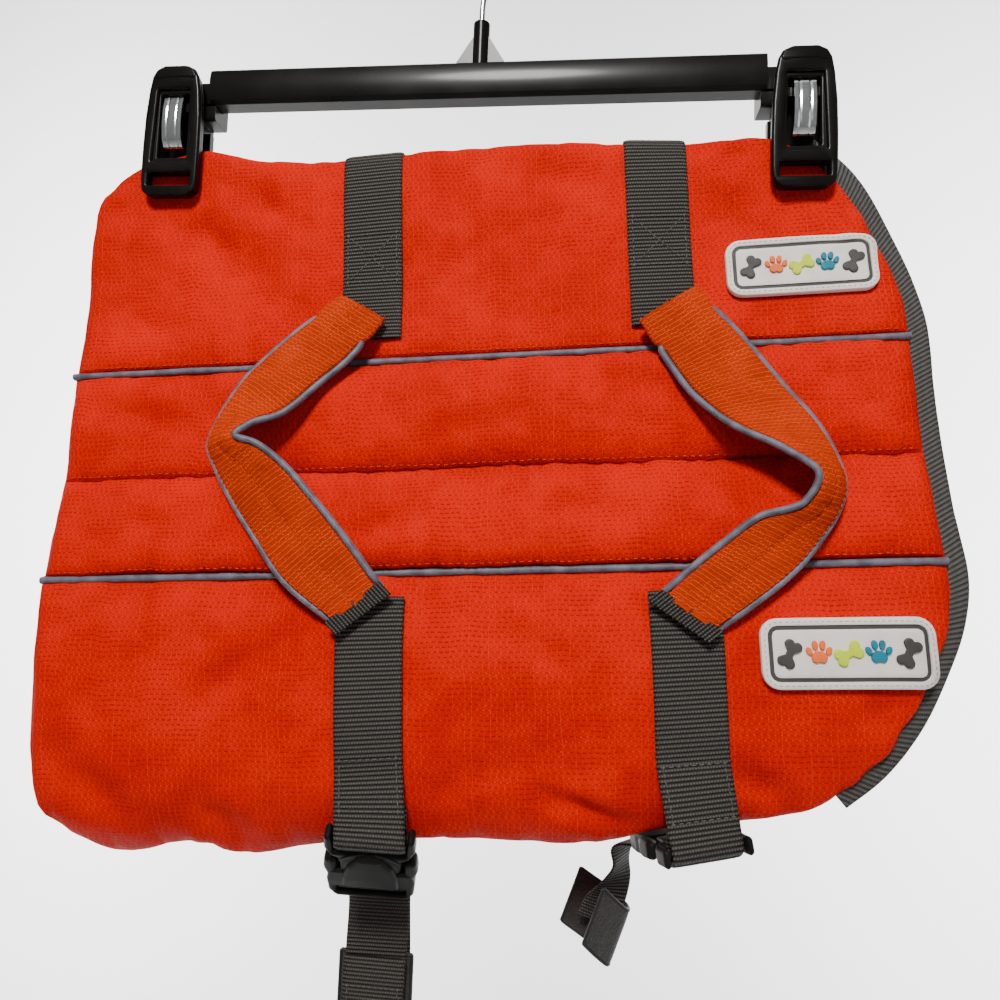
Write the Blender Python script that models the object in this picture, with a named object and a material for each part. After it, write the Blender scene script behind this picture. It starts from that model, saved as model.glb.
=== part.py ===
"""Dog life jacket hung by its flank from a clip hanger.

World frame: +X along the hanger, +Z up, the jacket's back faces -Y.  The
origin is the inside top of the hanger's hook.  Sizes below are millimetres.
The garment has its own flat frame: u runs from tail to neck along the spine,
w runs across it, from the lower flank to the upper one.
"""
import math

import bmesh
import bpy
from mathutils import Matrix, Vector

MM = 0.001
GAP = 0.3                      # clearance between pieces that touch

# ---- hanger -------------------------------------------------------------
BAR_TOP = -78.0                # the clips' tops, below the inside top of the hook
BAR_RISE = 1.0                 # the bar's top above the clips' tops
BAR_HALF = 120.3
BAR_HEIGHT = 16.4
BAR_FRONT = -5.6
BAR_BACK = 3.4
BAR_WALL = 2.2
RIB_PITCH = 30.0
BOSS_RADIUS = 3.6
BOSS_TOP = BAR_TOP + 20.0
GUSSET_TOP = BAR_TOP + 14.0
GUSSET_HALF = 11.5
WIRE_RADIUS = 1.3
HOOK_BORE = WIRE_RADIUS + GAP
LOOP_RADIUS = 18.0             # inside the hook
CLIP_X = 134.1
CLIP_FRONT = -10.0             # front face of each front jaw
CLIP_GRIP = -4.7               # where its lip meets the cloth
CLIP_PINCH = (-34.0, -61.0)    # heights below the bar's top that the jaws hold
CLIP_HALF = 13.0
PINCH_MIDDLE = -1.7
PINCH_THICK = 5.2

# ---- garment ------------------------------------------------------------
TILT = math.radians(3.4)       # the spine rises towards the neck
CENTRE_Z = -254.4              # centre seam at u = 0
W_UPPER, W_CENTRE, W_LOWER = 45.5, -0.7, -41.5
PIPING = 2.9                   # cord and its flange
SEAM_THICK = 3.6
FLANK_THICK = 14.0
SPINE_THICK = 17.0
END_ROUND = 18.0
U_REAR, U_NECK = -168.0, 177.0
WEBBING = 25.4
WEB_THICK = 1.4
TAIL_WEBBING = 16.0

# How far the middle layer stands from the hook's plane, across the garment.
LEAN = (  # w, y
    (150.0, 0.5), (116.0, 2.0), (76.0, 0.0), (45.5, -7.0), (22.0, -9.0),
    (-0.7, -13.0), (-21.0, -18.0), (-41.5, -24.0), (-67.0, -28.0),
    (-114.0, -29.5), (-134.0, -26.0), (-150.0, -17.0),
)
# Outer edges of the two flanks, from tail to neck.
UPPER_EDGE = (  # u, w
    (-168, 104), (-166, 118), (-160, 130), (-149, 138.5), (-130, 145), (-116, 147),
    (-103, 145.5), (-94, 142.9), (-82, 140.6), (-49, 138.7), (-23, 139.6), (4, 140.1),
    (49, 138.4), (70, 136.8), (102, 134.9), (130, 133.0), (142, 125.5), (155, 112.4),
    (168, 89.2), (174, 72), (177, 56),
)
LOWER_EDGE = (  # u, w
    (-168, -104), (-166, -118), (-160, -132), (-150, -142), (-134, -148.9), (-116, -144.3),
    (-98, -143.6), (-85, -148.2), (-66, -145.4), (-52, -142.8), (-15, -139.7), (32, -141.1),
    (55, -140), (71, -134.9), (102, -131.3), (123, -127.4), (133, -122), (145, -112.4),
    (157, -98), (168, -78), (174, -64), (177, -52),
)
PANEL_U = (-168, -164, -157, -148, -139, -126, -113, -100, -88, -76, -62, -8, 8, 24, 40, 56,
           112, 124, 135, 147, 155, 162, 168, 173, 177)
PAD_V = (0.0, 0.03, 0.09, 0.2, 0.35, 0.5, 0.65, 0.78, 0.88, 0.95, 0.985, 1.0)
STRAP_U = {  # centre of each strap's webbing, on the upper and the lower flank
    "rear": {"upper": -36.4, "lower": -31.2},
    "front": {"upper": 83.2, "lower": 83.6},
}

# Handle edges, from the upper end round the bend to the lower end.
REAR_HANDLE = (  # outer x, y, z, inner x, y, z
    (-53.4, -11.5, -183.6, -33.2, -13.4, -194.4),
    (-71.7, -15.3, -199.4, -45.1, -20.0, -213.8),
    (-82.6, -18.5, -211.5, -54.5, -24.0, -224.0),
    (-90.5, -21.5, -222.5, -66.6, -30.5, -237.5),
    (-97.8, -25.3, -240.1, -76.8, -36.6, -242.6),
    (-99.7, -27.3, -250.5, -81.1, -39.6, -246.9),
    (-94.8, -29.6, -260.4, -74.6, -38.3, -248.6),
    (-85.9, -32.2, -273.9, -63.4, -36.5, -256.1),
    (-75.9, -34.9, -286.3, -51.5, -36.3, -268.1),
    (-62.9, -37.0, -302.1, -38.8, -36.2, -282.0),
    (-41.9, -39.0, -317.2, -22.9, -36.2, -301.5),
)
FRONT_HANDLE = (  # outer x, y, z, inner x, y, z
    (92.2, -13.4, -180.3, 69.8, -15.9, -195.2),
    (109.0, -16.6, -198.5, 80.2, -20.2, -214.0),
    (124.4, -20.1, -219.1, 90.5, -25.1, -228.7),
    (137.0, -24.5, -236.4, 104.0, -31.7, -240.2),
    (142.9, -27.2, -250.1, 119.0, -37.4, -248.0),
    (144.3, -29.3, -260.1, 129.4, -41.5, -256.5),
    (141.8, -31.2, -269.1, 124.9, -41.2, -266.0),
    (134.2, -33.4, -281.7, 110.5, -38.7, -271.2),
    (124.3, -35.7, -293.2, 97.9, -36.5, -281.1),
    (111.7, -37.6, -303.7, 88.2, -36.2, -289.5),
    (98.0, -38.8, -313.9, 76.9, -36.2, -300.2),
)
HANDLE_THICK = 4.2
HANDLE_PIPING = 1.3            # radius

PATCH_SIZE = (58.0, 24.0)
PATCH_THICK = 1.8
PATCH_PLACE = {"upper": (137.6, 76.0), "lower": (136.5, -72.5)}   # u, w of its middle

BAND_GAP = 0.9                 # from the panels' edge, past its half thickness
BAND_REACH = (7.6, 4.6)        # how far it stands out, at its upper and its lower end
BAND_THICK = 1.8


# ---- small tools --------------------------------------------------------
def clear_scene():
    for item in list(bpy.data.objects):
        bpy.data.objects.remove(item, do_unlink=True)


def material(name, colour, roughness, metallic=0.0):
    made = bpy.data.materials.get(name)
    if made:
        return made
    made = bpy.data.materials.new(name)
    made.use_nodes = True
    shader = made.node_tree.nodes["Principled BSDF"]
    shader.inputs["Base Color"].default_value = (*colour, 1.0)
    shader.inputs["Roughness"].default_value = roughness
    shader.inputs["Metallic"].default_value = metallic
    made.diffuse_color = (*colour, 1.0)
    return made


def ripstop():
    return material("orange_ripstop", (0.80, 0.05, 0.01), 0.6)


def handle_cloth():
    return material("orange_handle_cloth", (0.72, 0.09, 0.02), 0.6)


def webbing():
    return material("grey_webbing", (0.07, 0.065, 0.055), 0.75)


def piping_cloth():
    return material("grey_piping", (0.22, 0.22, 0.27), 0.5)


def black_plastic():
    return material("black_plastic", (0.012, 0.011, 0.01), 0.3)


def chrome():
    return material("chrome", (0.75, 0.75, 0.75), 0.15, 1.0)


def rubber():
    return material("white_rubber", (0.85, 0.8, 0.75), 0.5)


def solid(name, points, faces, finish):
    """A closed mesh from points in millimetres, faces turned outwards."""
    mesh = bpy.data.meshes.new(name)
    mesh.from_pydata([Vector(p) * MM for p in points], [], faces)
    work = bmesh.new()
    work.from_mesh(mesh)
    bmesh.ops.recalc_face_normals(work, faces=work.faces)
    if work.calc_volume(signed=True) < 0:
        bmesh.ops.reverse_faces(work, faces=work.faces)
    work.to_mesh(mesh)
    work.free()
    mesh.materials.append(finish)
    made = bpy.data.objects.new(name, mesh)
    bpy.context.scene.collection.objects.link(made)
    return made


def loft(name, rings, finish):
    """Skin equal rings of points; each end closes across its two halves."""
    count = len(rings[0])
    points = [p for ring in rings for p in ring]
    faces = []
    for row in range(len(rings) - 1):
        for k in range(count):
            a, b = row * count + k, row * count + (k + 1) % count
            faces.append((a, b, b + count, a + count))
    for base in (0, (len(rings) - 1) * count):
        for k in range(count // 2 - 1):
            a, b = base + k, base + k + 1
            c, d = base + count - 2 - k, base + count - 1 - k
            faces.append((a, b, c, d) if b != c else (a, b, d))
    return solid(name, points, faces, finish)


def tube(name, path, radius, sides, finish):
    """A round rod along a path."""
    points = [Vector(p) for p in path]
    side = None
    rings = []
    for k, point in enumerate(points):
        ahead = points[min(k + 1, len(points) - 1)] - points[max(k - 1, 0)]
        ahead.normalize()
        if side is None:
            side = ahead.orthogonal().normalized()
        side = (side - ahead * side.dot(ahead)).normalized()
        other = ahead.cross(side)
        turns = [2 * math.pi * n / sides for n in range(sides)]
        rings.append([point + radius * (math.cos(t) * side + math.sin(t) * other) for t in turns])
    return loft(name, rings, finish)


def prism(name, outline, start, end, frame, finish):
    """An outline in a frame's first two axes, extruded along its third."""
    count = len(outline)
    points = [frame @ Vector((a, b, start)) for a, b in outline]
    points += [frame @ Vector((a, b, end)) for a, b in outline]
    faces = [tuple(range(count)), tuple(range(2 * count - 1, count - 1, -1))]
    faces += [(k, (k + 1) % count, count + (k + 1) % count, count + k) for k in range(count)]
    return solid(name, points, faces, finish)


def rounded(corners, radius, steps=4):
    """An outline with each corner (a, b) or (a, b, its own radius) rounded."""
    outline = []
    count = len(corners)
    for k, corner in enumerate(corners):
        here = Vector(corner[:2])
        size = corner[2] if len(corner) > 2 else radius
        back = (Vector(corners[k - 1][:2]) - here)
        ahead = (Vector(corners[(k + 1) % count][:2]) - here)
        if size <= 0:
            outline.append(tuple(here))
            continue
        half = back.angle(ahead) / 2
        reach = min(size / math.tan(half), 0.48 * back.length, 0.48 * ahead.length)
        first = here + back.normalized() * reach
        last = here + ahead.normalized() * reach
        for n in range(steps + 1):
            t = n / steps
            outline.append(tuple((1 - t) ** 2 * first + 2 * t * (1 - t) * here + t * t * last))
    return outline


def box_outline(left, right, low, high, radius=0.0, steps=3):
    corners = ((left, low), (right, low), (right, high), (left, high))
    return rounded(corners, radius, steps)


def helper(made):
    made.hide_render = True
    made.display_type = "WIRE"
    return made


def combine(body, other, operation):
    change = body.modifiers.new(operation.lower(), "BOOLEAN")
    change.operation = operation
    change.solver = "EXACT"
    change.object = helper(other)


def axes(x_axis, y_axis, origin=(0, 0, 0)):
    """A frame from its first two axes."""
    first = Vector(x_axis).normalized()
    third = first.cross(Vector(y_axis)).normalized()
    second = third.cross(first)
    turn = Matrix((first, second, third)).transposed().to_4x4()
    return Matrix.Translation(Vector(origin)) @ turn


FACING = axes((1, 0, 0), (0, 0, 1))        # x, z outline; extrusion runs to -Y
SIDEWAYS = axes((0, 1, 0), (0, 0, 1))      # y, z outline; extrusion runs to +X


def smooth_step(t):
    t = min(max(t, 0.0), 1.0)
    return t * t * (3 - 2 * t)


def along(table, where):
    """Read a table of (place, value) rows on a smooth curve."""
    rows = sorted(table)
    where = min(max(where, rows[0][0]), rows[-1][0])
    k = max(n for n in range(len(rows) - 1) if rows[n][0] <= where)
    (x0, y0), (x1, y1) = rows[k], rows[k + 1]

    def slope(n):
        before, after = rows[max(n - 1, 0)], rows[min(n + 1, len(rows) - 1)]
        return (after[1] - before[1]) / (after[0] - before[0])

    span = x1 - x0
    t = (where - x0) / span
    return ((2 * t ** 3 - 3 * t ** 2 + 1) * y0 + (t ** 3 - 2 * t ** 2 + t) * span * slope(k)
            + (3 * t ** 2 - 2 * t ** 3) * y1 + (t ** 3 - t ** 2) * span * slope(k + 1))


# ---- the garment's own frame --------------------------------------------
def hang(u, w):
    """Where a place on the flat garment hangs: its x and z."""
    x = u * math.cos(TILT) - w * math.sin(TILT)
    z = CENTRE_Z + u * math.sin(TILT) + w * math.cos(TILT)
    return x, z


def clip_distance(x, z):
    """Distance from the nearest clip's footprint, zero inside it."""
    low, high = BAR_TOP + CLIP_PINCH[1] - 5.0, BAR_TOP + CLIP_PINCH[0] + 10
    beyond_z = max(low - z, z - high, 0.0)
    return min(math.hypot(max(abs(x - c) - CLIP_HALF - 1.0, 0.0), beyond_z)
               for c in (-CLIP_X, CLIP_X))


def middle(u, w):
    x, z = hang(u, w)
    free = smooth_step(clip_distance(x, z) / 22.0)
    return PINCH_MIDDLE + (along(LEAN, w) - PINCH_MIDDLE) * free


def crown(v):
    return math.sqrt(max(1 - abs(2 * v - 1) ** 2.6, 0.0))


def half_thickness(u, w, v, full, length):
    ends = min(u - U_REAR, U_NECK - u) / END_ROUND
    swell = math.sqrt(1 - (1 - min(max(ends, 0.0), 1.0)) ** 2) * crown(v)
    full = min(full, SEAM_THICK + 0.42 * length)
    thick = SEAM_THICK + (full - SEAM_THICK) * swell
    free = smooth_step(clip_distance(*hang(u, w)) / 16.0)
    return (min(thick, PINCH_THICK) * (1 - free) + thick * free) / 2


def pad_ring(u, inner, outer, full):
    """One section of a padded panel, front from inner to outer, then back."""
    front, back = [], []
    for v in PAD_V:
        w = inner + (outer - inner) * v
        x, z = hang(u, w)
        y = middle(u, w)
        half = half_thickness(u, w, v, full, abs(outer - inner))
        front.append(Vector((x, y - half, z)))
        back.append(Vector((x, y + half, z)))
    return front + back[::-1]


def panel_stations(side):
    """Tail-to-neck stations of a flank, with each strap's edges and middle."""
    stations = set(PANEL_U)
    for strap in STRAP_U.values():
        centre = strap[side]
        stations |= {centre - WEBBING / 2, centre, centre + WEBBING / 2}
    return sorted(stations)


def flank_grid(side):
    edge, seam, sign = (UPPER_EDGE, W_UPPER, 1) if side == "upper" else (LOWER_EDGE, W_LOWER, -1)
    inner = seam + sign * (PIPING / 2 + GAP)
    return [pad_ring(u, inner, along(edge, u), FLANK_THICK) for u in panel_stations(side)]


def flank(side):
    return loft(f"flank_{side}", flank_grid(side), ripstop())


def spine_channel(side):
    rim = W_UPPER - PIPING / 2 - GAP if side == "upper" else W_LOWER + PIPING / 2 + GAP
    seam = W_CENTRE + (GAP / 2 if side == "upper" else -GAP / 2)
    rings = [pad_ring(u, rim, seam, SPINE_THICK) for u in panel_stations("upper")]
    return loft(f"spine_{side}", rings, ripstop())


def piping(side):
    """A corded seam: round bead in front, flat flange between the panels."""
    w = W_UPPER if side == "upper" else W_LOWER
    reach = SEAM_THICK / 2
    bead = PIPING / 2
    rings = []
    for u in panel_stations("upper"):
        x, z = hang(u, w)
        y = middle(u, w)
        ends = min(u - U_REAR, U_NECK - u) / END_ROUND
        proud = reach + 2.2 * min(max(ends, 0.15), 1.0)
        section = [(-bead, reach), (-bead, -proud)]
        section += [(-bead * math.cos(t), -proud - bead * math.sin(t))
                    for t in (math.pi / 4, math.pi / 2, 3 * math.pi / 4)]
        section += [(bead, -proud), (bead, reach), (0.0, reach)]
        across = Vector((-math.sin(TILT), 0, math.cos(TILT)))
        rings.append([Vector((x, y + depth, z)) + across * side_step
                      for side_step, depth in section])
    return loft(f"piping_{side}", rings, piping_cloth())


# ---- webbing ------------------------------------------------------------
def grid_normal(grid, column, row):
    count = len(grid[0])
    along_u = grid[min(column + 1, len(grid) - 1)][row] - grid[max(column - 1, 0)][row]
    along_ring = grid[column][(row + 1) % count] - grid[column][row - 1]
    return along_ring.cross(along_u).normalized()


def ribbon(name, rows, finish, thick=WEB_THICK):
    """A flat strip; each row is a list of (point, normal) across its width."""
    rings = []
    for row in rows:
        under = [point for point, _ in row]
        over = [point + normal * thick for point, normal in row]
        rings.append(under + over[::-1])
    return loft(name, rings, finish)


def surface_rows(grid, columns, first, last, sign, lift=GAP + 0.15):
    """Rows of a strap that lies on a panel's own points."""
    step = 1 if last >= first else -1
    rows = []
    for row in range(first, last + step, step):
        rows.append([])
        for column in columns:
            normal = grid_normal(grid, column, row) * sign
            rows[-1].append((grid[column][row] + normal * lift, normal))
    return rows


def strap_columns(side, end):
    stations = panel_stations(side)
    centre = STRAP_U[end][side]
    return [stations.index(centre + step * WEBBING / 2) for step in (-1, 0, 1)]


def upper_strap(end):
    """Up the flank from under the handle, over the top edge, down the back."""
    rows = surface_rows(flank_grid("upper"), strap_columns("upper", end), 2, 16, -1)
    return ribbon(f"strap_upper_{end}", rows, webbing())


def strip_rows(path, across, width=WEBBING, thick=WEB_THICK):
    """Rows of a free strip: a path of centre points with its width's direction.

    The direction may be one vector or a list of them, one for each point.
    """
    points = [Vector(p) for p in path]
    directions = across if isinstance(across[0], (tuple, list, Vector)) else [across] * len(points)
    rows = []
    for k, point in enumerate(points):
        ahead = (points[min(k + 1, len(points) - 1)] - points[max(k - 1, 0)]).normalized()
        wide = Vector(directions[k])
        wide = (wide - ahead * wide.dot(ahead)).normalized()
        normal = ahead.cross(wide).normalized()
        rows.append([(point + wide * width / 2 * s - normal * thick / 2, normal)
                     for s in (-1, 0, 1)])
    return rows


BUCKLES = {  # bar that the loop holds, direction to the far end, width direction
    "rear": {"bar": (-22.4, -38.2, -392.0), "towards": (-0.13, 0.66, -0.74),
             "across": (0.995, 0.13, -0.05)},
    "front": {"bar": (94.0, -38.4, -386.8), "towards": (-0.40, 0.90, -0.20),
              "across": (0.96, 0.25, 0.13)},
}


def buckle_frame(end):
    """x across the webbing, y along the buckle, z out of its face."""
    spec = BUCKLES[end]
    frame = axes(spec["across"], spec["towards"], spec["bar"])
    return frame


def lower_strap(end):
    """Down the flank from under the handle to a sewn loop round the buckle's bar."""
    grid = flank_grid("lower")
    columns = strap_columns("lower", end)
    rows = surface_rows(grid, columns, 2, 7, 1)
    left, right = rows[-1][0][0], rows[-1][2][0]
    leave = (left + right) / 2
    bar = Vector(BUCKLES[end]["bar"])
    wide = Vector(BUCKLES[end]["across"]).normalized()
    down = Vector((0.03, 0.02, -1)).normalized()
    out = down.cross(wide).normalized()
    if out.y > 0:
        out = -out
    radius = 2.6
    hang_points = []
    for share in (0.45, 0.8):
        hang_points.append(leave.lerp(bar + out * radius, share))
    for step in range(7):
        t = math.pi * step / 6
        hang_points.append(bar + out * radius * math.cos(t) + down * radius * math.sin(t))
    for rise, depth in ((4.5, 1.6), (8.5, 1.0), (12.0, 0.9)):
        hang_points.append(bar - out * depth - down * rise)
    path_normal = [out, out]
    path_normal += [(out * math.cos(math.pi * s / 6) + down * math.sin(math.pi * s / 6))
                    for s in range(7)]
    path_normal += [-out] * 3
    top_wide = (right - left).normalized()
    for k, (point, normal) in enumerate(zip(hang_points, path_normal)):
        blend_in = min((k + 1) / 3, 1.0)
        span = (top_wide.lerp(wide, blend_in)).normalized()
        rows.append([(point + span * WEBBING / 2 * s, normal) for s in (-1, 0, 1)])
    return ribbon(f"strap_lower_{end}", rows, webbing())


# ---- handles ------------------------------------------------------------
def curve_points(points, per_span):
    """A smooth run through points (Catmull-Rom)."""
    run = []
    last = len(points) - 1
    for k in range(last):
        p0, p1 = points[max(k - 1, 0)], points[k]
        p2, p3 = points[k + 1], points[min(k + 2, last)]
        for n in range(per_span):
            t = n / per_span
            run.append(0.5 * (2 * p1 + (p2 - p0) * t + (2 * p0 - 5 * p1 + 4 * p2 - p3) * t * t
                              + (3 * p1 - p0 - 3 * p2 + p3) * t ** 3))
    run.append(points[last].copy())
    return run


def tangents(points):
    last = len(points) - 1
    return [(points[min(k + 1, last)] - points[max(k - 1, 0)]).normalized()
            for k in range(last + 1)]


def handle_edges(table):
    """Both edges of the ribbon, and how far along its width 1 mm off each edge lies."""
    outer = curve_points([Vector(row[:3]) for row in table], 2)
    inner = curve_points([Vector(row[3:]) for row in table], 2)
    insets = []
    for edge in (outer, inner):
        widths = [(right - left).normalized() for left, right in zip(outer, inner)]
        insets.append([1 / max(width.cross(ahead).length, 0.55)
                       for width, ahead in zip(widths, tangents(edge))])
    return outer, inner, insets


def handle(end, table):
    """A padded ribbon between two free edges, sewn down at its ends."""
    outer, inner, insets = handle_edges(table)
    middle_line = [(left + right) / 2 for left, right in zip(outer, inner)]
    across_steps = (0.0, 0.08, 0.25, 0.5, 0.75, 0.92, 1.0)
    free = HANDLE_PIPING * 2 + GAP
    rings = []
    for k, ahead in enumerate(tangents(middle_line)):
        left, width = outer[k], inner[k] - outer[k]
        normal = width.cross(ahead).normalized()
        if normal.y > 0:
            normal = -normal
        first = free * insets[0][k] / width.length
        last = 1 - free * insets[1][k] / width.length
        front, back = [], []
        for s in across_steps:
            place = left + width * (first + (last - first) * s)
            half = 0.9 + (HANDLE_THICK / 2 - 0.9) * math.sqrt(1 - abs(2 * s - 1) ** 2.4)
            front.append(place + normal * half)
            back.append(place - normal * half)
        rings.append(front + back[::-1])
    return loft(f"handle_{end}", rings, handle_cloth())


def handle_piping(end, table, which):
    outer, inner, insets = handle_edges(table)
    edge, other = (outer, inner) if which == "outer" else (inner, outer)
    reach = insets[0] if which == "outer" else insets[1]
    path = [p + (q - p).normalized() * HANDLE_PIPING * r for p, q, r in zip(edge, other, reach)]
    return tube(f"handle_{end}_piping_{which}", path, HANDLE_PIPING, 8, piping_cloth())


# ---- patches and neck band ----------------------------------------------
def flank_front(side, u, w):
    """A point of the flank's front face and its outward normal."""
    edge, seam, sign = (UPPER_EDGE, W_UPPER, 1) if side == "upper" else (LOWER_EDGE, W_LOWER, -1)
    inner = seam + sign * (PIPING / 2 + GAP)

    def front(at_u, at_w):
        outer = along(edge, at_u)
        v = min(max((at_w - inner) / (outer - inner), 0.0), 1.0)
        x, z = hang(at_u, at_w)
        half = half_thickness(at_u, at_w, v, FLANK_THICK, abs(outer - inner))
        return Vector((x, middle(at_u, at_w) - half, z))

    here = front(u, w)
    normal = (front(u + 1, w) - here).cross(front(u, w + 1) - here).normalized()
    return here, (normal if normal.y < 0 else -normal)


def patch(side):
    """A moulded badge, left plain, that follows the flank."""
    centre_u, centre_w = PATCH_PLACE[side]
    half_u, half_w = PATCH_SIZE[0] / 2, PATCH_SIZE[1] / 2
    corner, steps = 6.0, 5
    depths = [corner * math.cos(math.pi / 2 * n / steps) for n in range(steps + 1)]
    ends = [half_u - corner + depth for depth in depths]
    stations = [-u for u in ends] + [half_u * s for s in (-0.4, 0.0, 0.4)] + ends[::-1]
    rings = []
    for offset in stations:
        u = centre_u + offset
        depth = max(abs(offset) - (half_u - corner), 0.0)
        reach = half_w - corner + math.sqrt(max(corner ** 2 - depth ** 2, 0.2))
        under, over = [], []
        for t in (-1, -0.5, 0, 0.5, 1):
            point, normal = flank_front(side, u, centre_w + reach * t)
            under.append(point + normal * 0.6)
            over.append(point + normal * (0.6 + PATCH_THICK))
        rings.append(under + over[::-1])
    return loft(f"patch_{side}", rings, rubber())


def neck_outline():
    """The garment's neck end as (u, w), from the upper corner to the lower."""
    upper = [(u, w) for u, w in UPPER_EDGE if u >= 142]
    lower = [(u, w) for u, w in LOWER_EDGE if u >= 133]
    return upper + [(177.0, 25.0), (177.0, -0.7), (177.0, -25.0)] + lower[::-1]


def neck_band():
    """A webbing rim that stands out from the panels' neck end."""
    outline = curve_points([Vector((u, 0, w)) for u, w in neck_outline()], 2)
    rings = []
    for k, (point, ahead) in enumerate(zip(outline, tangents(outline))):
        out = Vector((-ahead.z, 0, ahead.x))
        share = k / (len(outline) - 1)
        width = BAND_REACH[0] * (1 - share) + BAND_REACH[1] * share
        level_y = middle(point.x, point.z)
        ring = []
        for reach, level in ((0, -1), (1, -1), (1, 1), (0, 1)):
            place = point + out * (BAND_GAP + width * reach)
            x, z = hang(place.x, place.z)
            ring.append(Vector((x, level_y + level * BAND_THICK / 2, z)))
        rings.append(ring)
    return loft("neck_band", rings, webbing())


# ---- buckles and belly straps -------------------------------------------
def buckle(end):
    frame = buckle_frame(end)
    shell = rounded(((-13.2, -3.0), (-14.0, -5.4), (-15.8, -4.6), (-16.4, 3), (-15.6, 12),
                     (-12.5, 17.5), (12.5, 17.5), (15.6, 12), (16.4, 3), (15.8, -4.6),
                     (14.0, -5.4), (13.2, -3.0), (13.2, 5.0), (-13.2, 5.0)), 1.6, 2)
    socket = prism(f"buckle_{end}_socket", shell[::-1], -3.2, 3.2, frame, black_plastic())
    bar = prism(f"{end}_bar_helper", box_outline(-14.6, 14.6, -1.0, 1.0), -1.0, 1.0,
                frame, black_plastic())
    combine(socket, bar, "UNION")
    plug = rounded(((-15.5, 17.5 + GAP), (15.5, 17.5 + GAP), (16.6, 25), (16.2, 33), (13.5, 37.5),
                    (-13.5, 37.5), (-16.2, 33), (-16.6, 25)), 2.5, 2)
    body = prism(f"buckle_{end}_plug", plug[::-1], -3.4, 3.4, frame, black_plastic())
    slot = prism(f"{end}_slot_helper", box_outline(-13.3, 13.3, 29.6, 34.4), -6, 6,
                 frame, black_plastic())
    combine(body, slot, "DIFFERENCE")
    return socket, body


def slot_exit(end):
    """The belly strap's way through the plug's slot and past its far bar."""
    frame = buckle_frame(end)
    return [tuple(frame @ Vector(p)) for p in ((0, 31.4, -2.5), (0, 31.4, 3.0), (0, 33.2, 5.8),
                                               (0, 38.7, 6.8))]


def sewn_lap(end):
    """The belly strap's top, sewn over the end of the strap on the flank's back."""
    lift = GAP + 0.15 + WEB_THICK + GAP
    return surface_rows(flank_grid("upper"), strap_columns("upper", end), 16, 14, -1, lift)


def belly_strap_rear():
    """From the far end of the rear buckle, down, round and up behind the jacket."""
    path = slot_exit("rear") + [
        (-28.9, 3.6, -424.0), (-29.2, 7.4, -434.0), (-29.9, 9.0, -450.0),
        (-30.3, 9.3, -468.0), (-30.8, 9.8, -484.0), (-31.0, 12.0, -493.0),
        (-31.2, 18.0, -498.0), (-31.4, 24.0, -494.0), (-31.6, 26.6, -484.0),
        (-33.0, 27.0, -440.0), (-35.0, 25.0, -380.0), (-38.0, 21.5, -300.0),
        (-41.0, 17.5, -220.0), (-43.0, 13.5, -165.0),
    ]
    wide = [BUCKLES["rear"]["across"]] * 4 + [(1, 0, 0)] * (len(path) - 4)
    rows = strip_rows(path, wide) + sewn_lap("rear")
    return ribbon("belly_strap_rear", rows, webbing())


def belly_strap_front():
    """From the far end of the front buckle up behind the jacket."""
    path = slot_exit("front") + [
        (74.2, 8.5, -391.0), (73.8, 13.5, -384.0), (73.8, 16.8, -372.0), (74.0, 18.8, -350.0),
        (74.5, 19.0, -290.0), (75.0, 16.5, -220.0), (75.6, 13.0, -165.0),
    ]
    wide = [BUCKLES["front"]["across"]] * 4 + [(1, 0.1, 0)] * (len(path) - 4)
    rows = strip_rows(path, wide) + sewn_lap("front")
    return ribbon("belly_strap_front", rows, webbing())


def keeper_tab_outline():
    half, height = 15.6, 27.0
    return rounded(((-half, -height, 3), (half, -height, 3), (half, -3.5, 1.5), (half - 4, 0, 1.5),
                    (4.5 - half, 0, 1.5), (-half, -3.0, 1.5)), 1.5, 2)


def rear_tail_and_keeper():
    """The belly strap's doubled free end in front, its keeper tab behind."""
    tail_path = ((-30.0, 6.6, -455.0), (-30.3, 6.9, -468.0), (-30.7, 7.4, -481.0))
    ribbon("belly_tail_rear", strip_rows(tail_path, (1, 0, 0)), webbing())
    frame = Matrix.Translation((-30.4, 11.6, -455.5)) @ FACING
    prism("keeper_rear", keeper_tab_outline(), -0.8, 0.8, frame, webbing())


def front_tail_and_keeper():
    """The front strap's free end hangs down into a keeper folded like a book."""
    frame = buckle_frame("front")
    start = [tuple(frame @ Vector(p)) for p in ((0, 32.0, -4.7), (0, 39.0, -5.6))]
    tail_path = start + [(69.5, 7.6, -404.0), (69.2, 8.4, -410.0), (67.5, 8.0, -417.0),
                         (62.6, 6.0, -426.0), (59.8, 6.2, -433.0)]
    wide = [(0.95, 0.29, 0.13), (0.9, 0.4, 0.1), (0.60, 0.78, 0.0), (0.45, 0.88, 0.0),
            (0.72, 0.66, -0.1), (0.93, 0.20, -0.3), (0.93, 0.10, -0.33)]
    ribbon("belly_tail_front", strip_rows(tail_path, wide, TAIL_WEBBING), webbing())
    spine = (-7.7, 0.0, -22.3)
    fold_path = ((58.6, 0.6, -429.2), (64.4, 3.0, -435.0), (68.3, 5.6, -438.6),
                 (68.6, 9.6, -438.9), (64.6, 12.0, -436.0), (49.7, 14.0, -427.0))
    ribbon("keeper_front", strip_rows(fold_path, spine, 23.0), webbing(), 1.6)


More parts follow.
